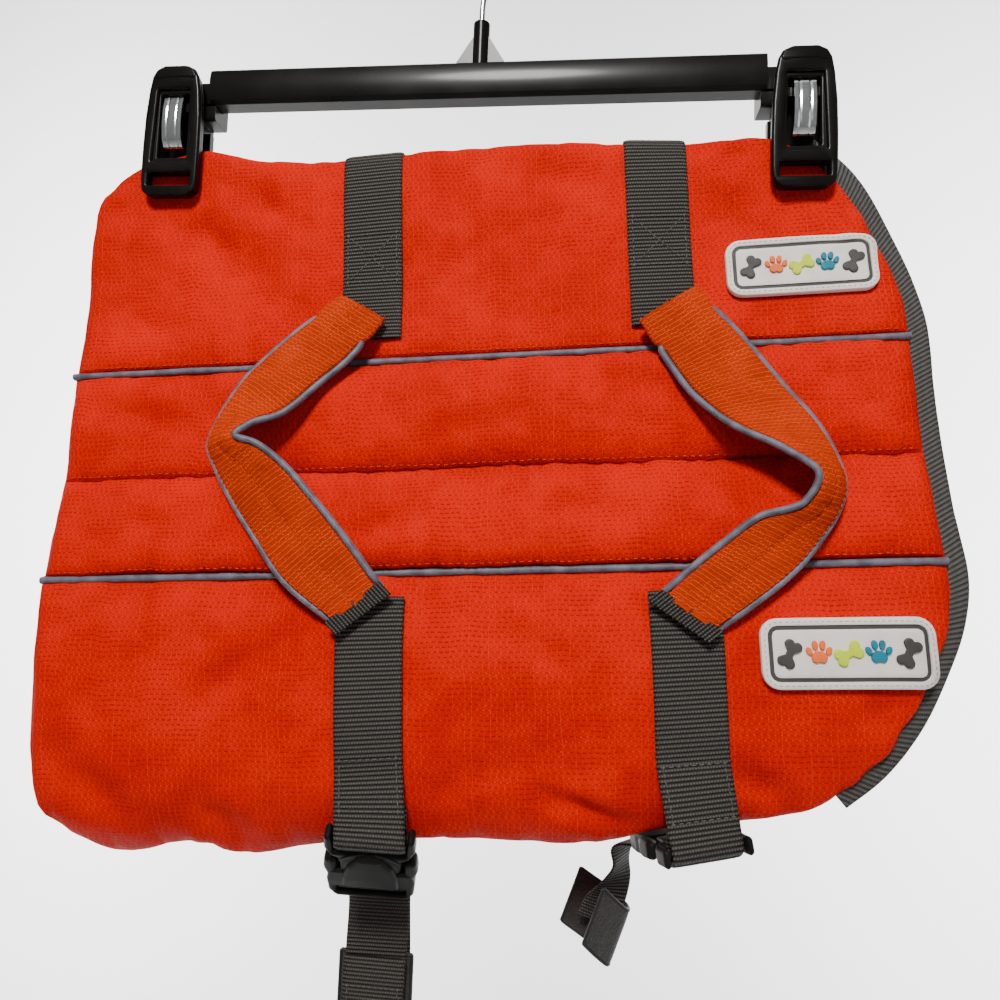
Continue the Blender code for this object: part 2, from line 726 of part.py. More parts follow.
# ---- hanger -------------------------------------------------------------
def hook():
    """A wire that rises from the boss and turns over in one round loop."""
    radius = LOOP_RADIUS + WIRE_RADIUS
    centre = Vector((0, 0, -LOOP_RADIUS))

    def ring_point(angle):
        return centre + radius * Vector((math.cos(angle), 0, math.sin(angle)))

    start_angle, end_angle = math.radians(-62), math.radians(208)
    foot = Vector((0, 0, BOSS_TOP - 11.0))
    bend = Vector((0, 0, -52.0))
    join = ring_point(start_angle)
    heading = Vector((-math.sin(start_angle), 0, math.cos(start_angle)))
    path = [foot, foot.lerp(bend, 0.5)]
    for step in range(7):
        t = step / 7
        a, b = bend + Vector((0, 0, 8.0)), join - heading * 7.0
        path.append((1 - t) ** 3 * bend + 3 * t * (1 - t) ** 2 * a
                    + 3 * t * t * (1 - t) * b + t ** 3 * join)
    steps = 26
    path += [ring_point(start_angle + (end_angle - start_angle) * n / steps)
             for n in range(steps + 1)]
    return tube("hanger_hook", path, WIRE_RADIUS, 10, chrome())


def bar():
    """A channel with a bowed face, open and ribbed behind, and a boss for the hook."""
    top = BAR_TOP + BAR_RISE
    low = top - BAR_HEIGHT
    face = [(BAR_BACK, top), (-2.8, top), (-4.8, top - 1.6),
            (BAR_FRONT, top - 5.5), (BAR_FRONT, low + 5.5), (-4.9, low + 1.6), (-3.2, low),
            (BAR_BACK, low)]
    body = prism("hanger_bar", face, -BAR_HALF, BAR_HALF, SIDEWAYS, black_plastic())
    boss_frame = axes((1, 0, 0), (0, 1, 0))
    turns = [2 * math.pi * n / 16 for n in range(16)]
    post = [(BOSS_RADIUS * math.cos(t), BOSS_RADIUS * math.sin(t)) for t in turns]
    combine(body, prism("boss_helper", post, BAR_TOP - 2, BOSS_TOP, boss_frame,
                        black_plastic()), "UNION")
    gusset = ((-GUSSET_HALF, BAR_TOP - 2), (GUSSET_HALF, BAR_TOP - 2), (GUSSET_HALF, BAR_TOP + 0.6),
              (3.2, GUSSET_TOP), (-3.2, GUSSET_TOP), (-GUSSET_HALF, BAR_TOP + 0.6))
    combine(body, prism("gusset_helper", gusset, -1.4, 1.4, FACING, black_plastic()), "UNION")
    for x in (-1.0, 1.0):
        end = x * (BAR_HALF - 1.0)
        tongue = box_outline(-1.4, 2.2, BAR_TOP - 13.5, BAR_TOP - 4.0)
        span = sorted((end, x * (BAR_HALF + 25.0)))
        combine(body, prism("tongue_helper", tongue, *span, SIDEWAYS, black_plastic()), "UNION")
    pocket = box_outline(BAR_FRONT + BAR_WALL, BAR_BACK + 5, low + BAR_WALL, top - BAR_WALL)
    half_count = int(BAR_HALF // RIB_PITCH)
    for n in range(-half_count, half_count):
        left, right = n * RIB_PITCH + 0.9, (n + 1) * RIB_PITCH - 0.9
        if n == 0:
            left = BOSS_RADIUS + 2
        if n == -1:
            right = -BOSS_RADIUS - 2
        combine(body, prism(f"pocket_helper_{n + half_count}", pocket, left, right, SIDEWAYS,
                            black_plastic()), "DIFFERENCE")
    bore = [(HOOK_BORE * math.cos(t), HOOK_BORE * math.sin(t)) for t in turns]
    combine(body, prism("bore_helper", bore, BOSS_TOP - 12.0, BOSS_TOP + 5, boss_frame,
                        black_plastic()), "DIFFERENCE")
    return body


def clip_outline():
    """Half-widths of the front jaw, rounded at the top, widest at the grip."""
    half_widths = ((-2.2, 8.6), (-5.0, 10.3), (-12.0, 11.7), (-24.0, 12.7), (-38.0, 13.0),
                   (-52.0, 12.9), (-57.0, 12.4), (-59.6, 9.5))
    right = [(half, BAR_TOP + z) for z, half in half_widths]
    left = [(-x, z) for x, z in reversed(right)]
    return [(0.0, BAR_TOP - 0.2), (5.4, BAR_TOP - 0.7)] + right + [(0.0, BAR_TOP - 60.8)] \
        + left + [(-5.4, BAR_TOP - 0.7)]


def clip(name, centre):
    """A front jaw with its window and slot, a slider behind it and a chrome spring."""
    frame = Matrix.Translation((centre, 0, 0)) @ FACING
    jaw = prism(f"clip_{name}_jaw", clip_outline(), -CLIP_GRIP, -CLIP_FRONT, frame,
                black_plastic())
    hollow = box_outline(-10.2, 10.2, BAR_TOP - 47.5, BAR_TOP - 5.0)
    window = box_outline(-6.6, 6.6, BAR_TOP - 42.3, BAR_TOP - 13.2)
    slot = box_outline(-9.6, 9.6, BAR_TOP - 55.2, BAR_TOP - 49.4)
    cuts = ((hollow, 0, -CLIP_FRONT - 2.2), (window, 0, 20), (slot, 0, 20))
    for number, (outline, start, end) in enumerate(cuts):
        combine(jaw, prism(f"{name}_jaw_cut_{number}", outline, start, end, frame,
                           black_plastic()), "DIFFERENCE")
    side = Matrix.Translation((centre, 0, 0)) @ SIDEWAYS
    top = BAR_TOP
    profile = ((2.2 + GAP, top - 1.5), (9.0, top - 1.5), (9.0, top - 24.0), (5.4, top - 27.0),
               (5.4, top - 59.0), (2.0, top - 60.2), (1.3, top - 58.0), (1.3, top - 33.0),
               (-1.0, top - 22.5), (-6.8, top - 20.6), (-6.8, top - 16.6), (2.2 + GAP, top - 15.0))
    slider = prism(f"clip_{name}_slider", profile, -9.6, 9.6, side, black_plastic())
    toward = -1 if centre > 0 else 1
    span = sorted((toward * 9.0, toward * 16.0))
    foot = rounded(((BAR_BACK + GAP, top - 1.5, 0), (9.0, top - 1.5, 0), (9.0, top - 22.0, 2),
                    (-3.0, top - 22.0, 1.5), (-3.0, top - BAR_HEIGHT + BAR_RISE - GAP, 0),
                    (BAR_BACK + GAP, top - BAR_HEIGHT + BAR_RISE - GAP, 0)), 0, 2)
    combine(slider, prism(f"{name}_foot_helper", foot, *span, side, black_plastic()), "UNION")
    wide = prism(f"{name}_back_jaw_helper",
                 box_outline(1.3, 4.6, top - 59.0, top - 26.0), -12.2, 12.2, side, black_plastic())
    combine(slider, wide, "UNION")
    spring(name, centre)


def spring(name, centre):
    """A C-shaped strip that hooks over the jaw's back and bulges in its window."""
    outer = ((-4.4, -14.2), (-6.2, -13.8), (-8.3, -15.0), (-9.3, -18.0), (-9.9, -24.0),
             (-9.6, -30.5), (-8.6, -35.0), (-6.8, -37.0), (-4.9, -36.3))
    points = curve_points([Vector((y, 0, BAR_TOP + z)) for y, z in outer], 2)
    path = [(centre, p.x, p.z) for p in points]
    ribbon(f"clip_{name}_spring", strip_rows(path, (1, 0, 0), 8.6, 0.8), chrome(), 0.8)


def build():
    clear_scene()
    for side in ("upper", "lower"):
        flank(side)
        spine_channel(side)
        piping(side)
        patch(side)
    for end in ("rear", "front"):
        upper_strap(end)
        lower_strap(end)
        buckle(end)
    for end, table in (("rear", REAR_HANDLE), ("front", FRONT_HANDLE)):
        handle(end, table)
        for which in ("outer", "inner"):
            handle_piping(end, table, which)
    neck_band()
    belly_strap_rear()
    belly_strap_front()
    rear_tail_and_keeper()
    front_tail_and_keeper()
    hook()
    bar()
    for name, centre in (("left", -CLIP_X), ("right", CLIP_X)):
        clip(name, centre)


build()
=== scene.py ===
"""Looks of a dog life jacket that hangs from a clip hanger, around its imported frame.

Sizes are millimetres unless a name or a property says otherwise.  The garment has a
flat frame of its own: u runs from tail to neck along the spine, w runs across it,
from the lower flank to the upper one.
"""
import math

import bmesh
import bpy
import numpy as np
from bpy.props import FloatProperty, FloatVectorProperty, PointerProperty
from mathutils import Matrix, Vector, noise
from mathutils.bvhtree import BVHTree


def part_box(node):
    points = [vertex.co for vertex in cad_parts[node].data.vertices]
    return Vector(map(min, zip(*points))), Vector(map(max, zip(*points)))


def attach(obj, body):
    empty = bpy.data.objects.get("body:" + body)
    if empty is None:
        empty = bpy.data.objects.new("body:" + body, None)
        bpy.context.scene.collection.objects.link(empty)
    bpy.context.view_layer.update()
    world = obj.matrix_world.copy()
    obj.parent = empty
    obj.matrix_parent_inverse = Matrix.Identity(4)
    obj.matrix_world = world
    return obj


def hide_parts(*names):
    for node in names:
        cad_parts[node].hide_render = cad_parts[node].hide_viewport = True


bl_info = {
    "name": "Dog life jacket on a clip hanger",
    "version": (1, 0, 0),
    "blender": (4, 5, 0),
    "location": "View3D > Sidebar > Life jacket",
    "description": "Builds the cloth, webbing, buckles and clip hanger of a dog life jacket",
    "category": "Object",
}

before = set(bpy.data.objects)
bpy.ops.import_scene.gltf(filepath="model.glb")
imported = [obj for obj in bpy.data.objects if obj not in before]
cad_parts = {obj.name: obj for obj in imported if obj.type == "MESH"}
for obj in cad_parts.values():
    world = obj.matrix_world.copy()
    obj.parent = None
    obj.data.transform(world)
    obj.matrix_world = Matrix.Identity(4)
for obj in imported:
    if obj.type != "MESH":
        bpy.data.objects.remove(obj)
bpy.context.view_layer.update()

MM = 0.001
ROOT = "root"

# ---- the garment --------------------------------------------------------
TILT = math.radians(3.4)
CENTRE_Z = -254.4
SEAM_HALF = 1.8                # half the thickness of a sewn edge
PIPING_RADIUS = 1.45
WEBBING = 25.4
WEB_THICK = 1.4
WEB_LIFT = 0.45                # webbing above the cloth
TAIL_WEBBING = 16.0
PAD_STEP = 2.0
CREASE_DEPTH = 2.3             # how far the tables' creases are pressed in
GATHER_DEPTH = 1.7
SLACK = ((1.3, 62.0, 0), (0.9, 23.0, 3), (0.3, 8.5, 7))  # height, size, step in the seed

STRAP_U = {  # centre of each strap's webbing, on the upper and the lower flank
    "rear": {"upper": -36.4, "lower": -31.2},
    "front": {"upper": 83.2, "lower": 83.6},
}
BUCKLES = {  # bar that the loop holds, direction to the far end, width direction
    "rear": {"bar": (-22.4, -38.2, -392.0), "towards": (-0.13, 0.66, -0.74),
             "across": (0.995, 0.13, -0.05)},
    "front": {"bar": (94.0, -38.4, -386.8), "towards": (-0.40, 0.90, -0.20),
              "across": (0.96, 0.25, 0.13)},
}
REAR_HANDLE = (  # outer x, y, z, inner x, y, z
    (-53.4, -11.5, -183.6, -33.2, -13.4, -194.4),
    (-71.7, -15.3, -199.4, -45.1, -20.0, -213.8),
    (-82.6, -18.5, -211.5, -54.5, -24.0, -224.0),
    (-90.5, -21.5, -222.5, -66.6, -30.5, -237.5),
    (-97.8, -25.3, -240.1, -76.8, -36.6, -242.6),
    (-99.7, -27.3, -250.5, -81.1, -39.6, -246.9),
    (-94.8, -29.6, -260.4, -74.6, -38.3, -248.6),
    (-85.9, -32.2, -273.9, -63.4, -36.5, -256.1),
    (-75.9, -34.9, -286.3, -51.5, -36.3, -268.1),
    (-62.9, -37.0, -302.1, -38.8, -36.2, -282.0),
    (-41.9, -39.0, -317.2, -22.9, -36.2, -301.5),
)
FRONT_HANDLE = (  # outer x, y, z, inner x, y, z
    (92.2, -13.4, -180.3, 69.8, -15.9, -195.2),
    (109.0, -16.6, -198.5, 80.2, -20.2, -214.0),
    (124.4, -20.1, -219.1, 90.5, -25.1, -228.7),
    (137.0, -24.5, -236.4, 104.0, -31.7, -240.2),
    (142.9, -27.2, -250.1, 119.0, -37.4, -248.0),
    (144.3, -29.3, -260.1, 129.4, -41.5, -256.5),
    (141.8, -31.2, -269.1, 124.9, -41.2, -266.0),
    (134.2, -33.4, -281.7, 110.5, -38.7, -271.2),
    (124.3, -35.7, -293.2, 97.9, -36.5, -281.1),
    (111.7, -37.6, -303.7, 88.2, -36.2, -289.5),
    (98.0, -38.8, -313.9, 76.9, -36.2, -300.2),
)
HANDLE_HALF = 2.1
HANDLE_PIPING = 1.3

# Soft creases on the front: from u, w to u, w, how deep, how wide.
FRONT_CREASES = {
    "flank_upper": (
        (-128, 120, -96, 92, 1.3, 9.0), (-96, 128, -70, 108, 0.9, 7.0),
        (-150, 74, -118, 60, 0.7, 8.0), (-8, 132, 6, 96, 0.7, 8.0),
        (30, 126, 62, 118, 0.6, 7.0), (104, 118, 118, 88, 1.0, 7.0),
        (118, 124, 140, 100, 0.8, 6.0), (20, 66, 48, 58, 0.5, 6.0),
        (-60, 60, -88, 84, 0.5, 7.0), (150, 96, 168, 66, 0.6, 6.0),
    ),
    "spine_upper": (
        (-150, 30, -118, 22, 0.6, 5.0), (-10, 12, 30, 20, 0.5, 5.0),
        (56, 34, 84, 26, 0.5, 5.0), (146, 30, 162, 12, 0.6, 4.5),
    ),
    "spine_lower": (
        (-140, -12, -112, -24, 0.5, 5.0), (-44, -26, -8, -20, 0.5, 5.0),
        (30, -14, 66, -22, 0.5, 5.0), (150, -12, 166, -28, 0.5, 4.5),
    ),
    "flank_lower": (
        (-62, -64, -102, -92, 0.9, 7.0), (-104, -60, -128, -80, 0.6, 7.0),
        (32, -122, 60, -132, 1.3, 4.0), (-2, -118, 24, -108, 0.6, 6.0),
        (-150, -112, -126, -128, 0.8, 7.0), (-98, -126, -84, -138, 0.9, 6.0),
        (98, -112, 116, -124, 0.7, 5.0), (10, -60, 34, -72, 0.5, 6.0),
        (146, -96, 164, -66, 0.7, 6.0),
    ),
}
BACK_CREASES = {
    "flank_upper": ((-120, 118, -88, 90, 1.1, 9.0), (0, 120, 24, 92, 0.8, 8.0),
                    (108, 116, 130, 84, 0.9, 8.0), (-60, 70, -20, 62, 0.6, 7.0)),
    "spine_upper": ((-120, 26, -90, 18, 0.5, 5.0), (20, 14, 50, 24, 0.5, 5.0)),
    "spine_lower": ((-60, -14, -30, -24, 0.5, 5.0), (90, -16, 120, -26, 0.5, 5.0)),
    "flank_lower": ((-110, -70, -80, -100, 0.9, 8.0), (10, -96, 44, -116, 0.9, 8.0),
                    (120, -70, 146, -96, 0.8, 7.0), (-20, -60, 8, -70, 0.5, 6.0)),
}


# ---- small geometry tools ----------------------------------------------
def unit(vectors):
    vectors = np.asarray(vectors, float)
    return vectors / np.maximum(np.linalg.norm(vectors, axis=-1, keepdims=True), 1e-9)


def smooth_step(t):
    t = np.clip(t, 0.0, 1.0)
    return t * t * (3 - 2 * t)


def read_smoothly(places, rows, wanted):
    """Rows of values at some places, read on a smooth curve at the wanted places."""
    places, rows = np.asarray(places, float), np.asarray(rows, float)
    wanted = np.clip(np.asarray(wanted, float), places[0], places[-1])
    slopes = np.gradient(rows, places, axis=0)
    k = np.clip(np.searchsorted(places, wanted, side="right") - 1, 0, len(places) - 2)
    span = places[k + 1] - places[k]
    t = (wanted - places[k]) / span
    shape = (len(wanted),) + (1,) * (rows.ndim - 1)
    t, span = t.reshape(shape), span.reshape(shape)
    return ((2 * t ** 3 - 3 * t ** 2 + 1) * rows[k] + (t ** 3 - 2 * t ** 2 + t) * span * slopes[k]
            + (3 * t ** 2 - 2 * t ** 3) * rows[k + 1] + (t ** 3 - t ** 2) * span * slopes[k + 1])


def lengths(points):
    """How far along a path each of its points lies."""
    points = np.asarray(points, float)
    steps = np.linalg.norm(np.diff(points, axis=0), axis=1)
    return np.concatenate([[0.0], np.cumsum(steps)])


def resample(points, step, *others):
    """A path and what goes with it, smoothed and spaced evenly."""
    places = lengths(points)
    count = max(int(round(places[-1] / step)), 2)
    wanted = np.linspace(0, places[-1], count + 1)
    made = [read_smoothly(places, rows, wanted) for rows in (points, *others)]
    return made if others else made[0]


def directions(points):
    """Unit tangents of a path."""
    return unit(np.gradient(np.asarray(points, float), axis=0))


def soften(rows, times):
    """Rows averaged with their neighbours, ends held."""
    rows = np.array(rows, float)
    for _ in range(times):
        rows[1:-1] = (rows[:-2] + 2 * rows[1:-1] + rows[2:]) / 4
    return rows


def to_flat(points):
    """The garment's own u and w of places that hang."""
    x, z = points[..., 0], points[..., 2] - CENTRE_Z
    cos, sin = math.cos(TILT), math.sin(TILT)
    return x * cos + z * sin, -x * sin + z * cos


def hang(u, y, w):
    """Where places of the flat garment hang."""
    u, y, w = np.broadcast_arrays(u, y, w)
    cos, sin = math.cos(TILT), math.sin(TILT)
    return np.stack([u * cos - w * sin, y, CENTRE_Z + u * sin + w * cos], axis=-1)


def in_scene(name, data):
    made = bpy.data.objects.new(name, data)
    bpy.context.scene.collection.objects.link(made)
    return made


def dyed(colour, share):
    """A colour made darker or lighter."""
    return [c * share for c in colour]


def add_mesh(name, points, faces, material, uvs=None):
    """A mesh object from points in millimetres; uvs holds one place for each point."""
    mesh = bpy.data.meshes.new(name)
    mesh.from_pydata((np.asarray(points, float) * MM).tolist(), [], faces)
    if uvs is not None:
        layer = mesh.uv_layers.new(name="cloth")
        corners = np.zeros(len(mesh.loops), np.int32)
        mesh.loops.foreach_get("vertex_index", corners)
        layer.data.foreach_set("uv", np.asarray(uvs, np.float32)[corners].ravel())
    mesh.materials.append(material)
    mesh.shade_smooth()
    return in_scene(name, mesh)


def turn_outwards(item, merge=0.0):
    """Points each face of a closed mesh outwards, after its doubles are merged."""
    work = bmesh.new()
    work.from_mesh(item.data)
    if merge:
        bmesh.ops.remove_doubles(work, verts=work.verts, dist=merge * MM)
    bmesh.ops.recalc_face_normals(work, faces=work.faces)
    if work.calc_volume(signed=True) < 0:
        bmesh.ops.reverse_faces(work, faces=work.faces)
    work.to_mesh(item.data)
    work.free()
    return item


def grid_faces(rows, columns, offset=0):
    """Quads of a grid of points that is joined round its columns."""
    index = np.arange(rows * columns).reshape(rows, columns) + offset
    index = np.concatenate([index, index[:, :1]], axis=1)
    corners = (index[:-1, :-1], index[:-1, 1:], index[1:, 1:], index[1:, :-1])
    return np.stack(corners, axis=-1).reshape(-1, 4).tolist()


def tube_faces(rows, columns, offset=0):
    """The same, closed at both ends by one face each."""
    ends = (offset, offset + (rows - 1) * columns)
    return grid_faces(rows, columns, offset) + [
        tuple(range(end, end + columns)) for end in ends]


def strip_faces(rows, columns):
    """The same for a flat strip: front and back meet across each end in quads."""
    half = columns // 2
    return grid_faces(rows, columns) + [
        (base + k, base + k + 1, base + columns - 2 - k, base + columns - 1 - k)
        for base in (0, (rows - 1) * columns) for k in range(half - 1)]


def ready(item, *nodes, slot=None):
    """A finished piece rides on the frame's one body and stands for its nodes."""
    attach(item, ROOT)
    if nodes:
        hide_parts(*nodes)
    return item


def apply_modifiers(item):
    """The item's evaluated shape as its plain mesh."""
    depsgraph = bpy.context.evaluated_depsgraph_get()
    mesh = bpy.data.meshes.new_from_object(item.evaluated_get(depsgraph))
    mesh.name = item.name
    item.modifiers.clear()
    item.data = mesh
    return item


# ---- shader recipes -----------------------------------------------------
def math_node(operation, turned=False):
    """A method that adds one Math node, with its values turned round for a reflected form."""
    def method(self, *others):
        values = (self, *others)
        return self.recipe.math(operation, *(reversed(values) if turned else values))
    return method


class Value:
    """A number in a shader that Python's operators work on."""

    def __init__(self, recipe, socket):
        self.recipe, self.socket = recipe, socket

    __add__ = __radd__ = math_node("ADD")
    __sub__, __rsub__ = math_node("SUBTRACT"), math_node("SUBTRACT", True)
    __mul__ = __rmul__ = math_node("MULTIPLY")
    __truediv__, __pow__ = math_node("DIVIDE"), math_node("POWER")
    sin, size = math_node("SINE"), math_node("ABSOLUTE")
    part, whole = math_node("FRACT"), math_node("FLOOR")

    def between(self, low, high):
        """0 below low, 1 above high, smooth between."""
        return self.recipe.node("ShaderNodeMapRange", {"interpolation_type": "SMOOTHSTEP"}, {
            "Value": self, "From Min": low, "From Max": high})


class Recipe:
    """A material's nodes, round one Principled shader."""

    def __init__(self, name, **sockets):
        self.material = bpy.data.materials.new(name)
        self.material.use_nodes = True
        self.tree = self.material.node_tree
        self.shader = self.tree.nodes["Principled BSDF"]
        for socket, value in sockets.items():
            key = socket.replace("_", " ").title().replace("Ior", "IOR")
            self.shader.inputs[key].default_value = value

    def node(self, kind, settings=None, inputs=None, output=0):
        made = self.tree.nodes.new(kind)
        for key, value in (settings or {}).items():
            if key == "stops":
                ramp = made.color_ramp
                while len(ramp.elements) < len(value):
                    ramp.elements.new(0.5)
                for element, (place, colour) in zip(ramp.elements, value):
                    element.position, element.color = place, (*colour, 1.0)
            else:
                setattr(made, key, value)
        for key, value in (inputs or {}).items():
            self.feed(made.inputs[key], value)
        return Value(self, made.outputs[output])

    def feed(self, socket, value):
        if isinstance(value, Value):
            self.tree.links.new(value.socket, socket)
        elif hasattr(value, "__len__") and socket.type == "RGBA" and len(value) == 3:
            socket.default_value = (*value, 1.0)
        else:
            socket.default_value = value

    def math(self, operation, *values):
        return self.node("ShaderNodeMath", {"operation": operation}, dict(enumerate(values)))

    def place(self):
        """Object coordinates in millimetres, as x, y and z."""
        where = self.node("ShaderNodeTexCoord", output=3)
        parts = [self.node("ShaderNodeSeparateXYZ", None, {0: where}, k) for k in range(3)]
        return where, [part * (1 / MM) for part in parts]

    def cloth_place(self):
        """The piece's own across and along, in millimetres."""
        where = self.node("ShaderNodeUVMap", {"uv_map": "cloth"})
        return [self.node("ShaderNodeSeparateXYZ", None, {0: where}, k) for k in range(2)]

    def grain(self, where, scale, detail=2.0, rough=0.5, distortion=0.0):
        return self.node("ShaderNodeTexNoise", None, {
            "Vector": where, "Scale": scale, "Detail": detail, "Roughness": rough,
            "Distortion": distortion})

    def join(self, x, y, z=0.0):
        return self.node("ShaderNodeCombineXYZ", None, {0: x, 1: y, 2: z})

    def blend(self, share, first, second):
        """One colour turning into another."""
        return self.node("ShaderNodeMix", {"data_type": "RGBA"}, {
            0: share, 6: first, 7: second}, 2)

    def colour(self, value):
        self.feed(self.shader.inputs["Base Color"], value)

    def roughness(self, value):
        self.feed(self.shader.inputs["Roughness"], value)

    def bump(self, height, distance, strength=1.0):
        """Height in 0 to 1 stands for a distance in millimetres."""
        relief = self.node("ShaderNodeBump", None, {
            "Height": height, "Distance": distance * MM, "Strength": strength})
        self.feed(self.shader.inputs["Normal"], relief)


def ripstop(name, colour, thread_colour, shade, pitch, lined):
    """Plain-woven nylon with heavier threads in a grid, with painted shade (dark mottling and
    crease streaks) and painted highlight patches.
    """
    recipe = Recipe(name, roughness=0.5, specular_ior_level=0.10, specular_tint=(
        1.0, 0.3, 0.15, 1.0))
    across, along = recipe.cloth_place()
    where = recipe.join(across, along)
    wander = recipe.grain(where, 0.035, 2.0)
    drift = recipe.grain(where, 0.5, 1.0)
    highlight_patches = recipe.grain(where, 0.09, 2.0, 0.6)
    crosswise = across / pitch + wander * 1.6
    lengthwise = along / (pitch * 0.8) + wander * 0.9
    warp = 1 - ((crosswise.part() - 0.5).size()).between(0.03, 0.13)
    weft = 1 - ((lengthwise.part() - 0.5).size()).between(0.05, 0.2)
    each = recipe.node("ShaderNodeTexWhiteNoise", {"noise_dimensions": "1D"},
                       {"W": crosswise.whole()})
    broken = recipe.grain(recipe.join(across * 1.5, along * 0.8), 1.0, 1.0).between(0.38, 0.6)
    threads = warp * (lined + (1 - lined) * each) * (lined + (1 - lined) * broken)
    ticks = (crosswise * (2 * math.pi) + lengthwise.whole() * 2.4).sin().between(0.1, 0.8)
    dashes = weft * ticks
    # painted highlight: patches where the thread dashes show brighter and the dark gaps fade
    lit = highlight_patches.between(0.36, 0.62)
    lines = recipe.math("MAXIMUM", threads * 0.85, dashes * lit * 0.75)
    gaps = weft * (1 - ticks) * (1 - lit * 0.5) * (1 - lined)
    weave = (across * (math.pi / 0.31)).sin() * (along * (math.pi / 0.31)).sin()
    # painted shade: long soft streaks of the darker colour stand in for shaded creases
    painted_crease_shade = recipe.grain(recipe.join(across * 1.1, along * 0.07), 1.0, 3.0, 0.7)
    # painted shade: large soft blotches of the darker colour stand in for the pads' shading
    painted_shade_mottle = recipe.grain(where, 0.022, 4.0, 0.62).between(0.34, 0.66)
    base = recipe.blend(painted_shade_mottle, shade, colour)
    base = recipe.blend(painted_crease_shade.between(0.45, 0.75) * 0.5, base, shade)
    base = recipe.blend((weave * 0.5 + 0.5) * 0.3, base, dyed(shade, 0.6))
    base = recipe.blend(gaps * 0.75, base, dyed(shade, 0.45))
    recipe.colour(recipe.blend(lines * 0.85, base, thread_colour))
    recipe.roughness(0.44 + 0.18 * drift)
    slub = recipe.grain(recipe.join(across * 3.0, along * 0.4), 1.0, 2.0)
    ruffle = recipe.grain(where, 0.28, 3.0, 0.6)
    recipe.bump(lines * 0.6 - gaps * 0.4 + weave * 0.12 + slub * 0.3 + ruffle * 1.9, 0.32, 0.95)
    return recipe.material


def webbing_cloth(name, colour, light, rib):
    """Ribbed polypropylene webbing: rows of small twisted yarns, with painted shade in the grooves
    and painted highlights on the rib tops.
    """
    recipe = Recipe(name, roughness=0.6, specular_ior_level=0.2)
    across, along = recipe.cloth_place()
    rows = along / rib
    row = rows.part()
    yarn = (across / 1.02 + rows.whole() * 0.5).part()
    ridge = (row * math.pi).sin()
    bead = (yarn * math.pi).sin() ** 0.6
    twist = ((across * 3.1 + along * 5.2)).sin() * 0.5 + 0.5
    fuzz = recipe.grain(recipe.join(across, along), 2.4, 3.0, 0.6)
    height = ridge * (0.55 + 0.45 * bead)
    # painted highlight: glints of the pale second colour on the rib tops
    glint = (height.between(0.62, 0.98)) * (0.35 + 0.65 * fuzz) * (0.6 + 0.4 * twist)
    # painted shade: the colour darkens in the grooves between the ribs
    groove_shade = dyed(colour, 0.22)
    base = recipe.blend(height.between(0.12, 0.7), groove_shade, colour)
    recipe.colour(recipe.blend(glint * 0.55, base, light))
    recipe.roughness(0.45 + 0.3 * fuzz)
    recipe.bump(height + fuzz * 0.15 + twist * bead * 0.12, 0.28, 1.0)
    return recipe.material


def diagonal_binding(name, colour, light):
    """Twill webbing with slanting ribs, for the neck band, with painted shade in the grooves and
    painted highlights on the rib tops.
    """
    recipe = Recipe(name, roughness=0.62, sheen_weight=0.1, sheen_roughness=0.5)
    across, along = recipe.cloth_place()
    slant = ((along + across * 0.55) / 1.9).part()
    ridge = (slant * math.pi).sin()
    yarn = ((along * 0.5 - across) * (math.pi / 0.8)).sin().size()
    fuzz = recipe.grain(recipe.join(across, along), 2.0, 3.0, 0.6)
    # painted shade: the colour darkens in the grooves between the slanting ribs
    groove_shade = dyed(colour, 0.3)
    base = recipe.blend(ridge.between(0.15, 0.7), groove_shade, colour)
    # painted highlight: the pale colour on the ridge tops
    recipe.colour(recipe.blend(ridge.between(0.7, 1.0) * fuzz * yarn * 0.6, base, light))
    recipe.bump(ridge * (0.75 + 0.25 * yarn) + fuzz * 0.15, 0.3, 1.0)
    return recipe.material


def piping_cloth(name, colour):
    """Smooth woven cover over a cord, with a faint slanting rib."""
    recipe = Recipe(name, roughness=0.5, sheen_weight=0.15, sheen_roughness=0.4)
    where, _ = recipe.place()
    along = recipe.node("ShaderNodeAttribute", {"attribute_name": "along"}, output=2)
    around = recipe.node("ShaderNodeAttribute", {"attribute_name": "around"}, output=2)
    rib = ((along * (1 / MM) * 2.2 + around * 4.0) * math.pi).sin()
    cloudy = recipe.grain(where, 180.0, 2.0)
    fuzz = recipe.grain(where, 1500.0, 3.0, 0.65)
    lighter = dyed(colour, 1.35)
    darker = dyed(colour, 0.62)
    base = recipe.blend(cloudy.between(0.3, 0.7), darker, lighter)
    recipe.colour(recipe.blend(fuzz.between(0.35, 0.75) * 0.3, base, darker))
    recipe.roughness(0.42 + 0.22 * fuzz)
    recipe.bump(rib * 0.25 + fuzz * 0.6, 0.07, 0.8)
    return recipe.material


def moulded_plastic(name, colour, gloss, grain_depth, coat=0.0):
    """Black plastic with the faint skin that a mould leaves, scuffed a little."""
    recipe = Recipe(name, roughness=gloss, coat_weight=coat, coat_roughness=0.12,
                    specular_ior_level=0.09)
    where, (x, y, z) = recipe.place()
    skin = recipe.grain(where, 900.0, 3.0, 0.6)
    cloudy = recipe.grain(where, 45.0, 3.0)
    scuff = recipe.grain(recipe.join(x * 0.05, y * 0.6, z * 0.9), 1.3, 4.0, 0.7)
    worn = scuff.between(0.62, 0.8)
    lighter = [c * 1.8 + 0.003 for c in colour]
    base = recipe.blend(cloudy.between(0.35, 0.75) * 0.5, colour, lighter)
    recipe.colour(recipe.blend(worn * 0.3, base, lighter))
    recipe.roughness(gloss + 0.10 * cloudy + 0.12 * worn)
    recipe.bump(skin + worn * 0.3, grain_depth, 0.5)
    return recipe.material


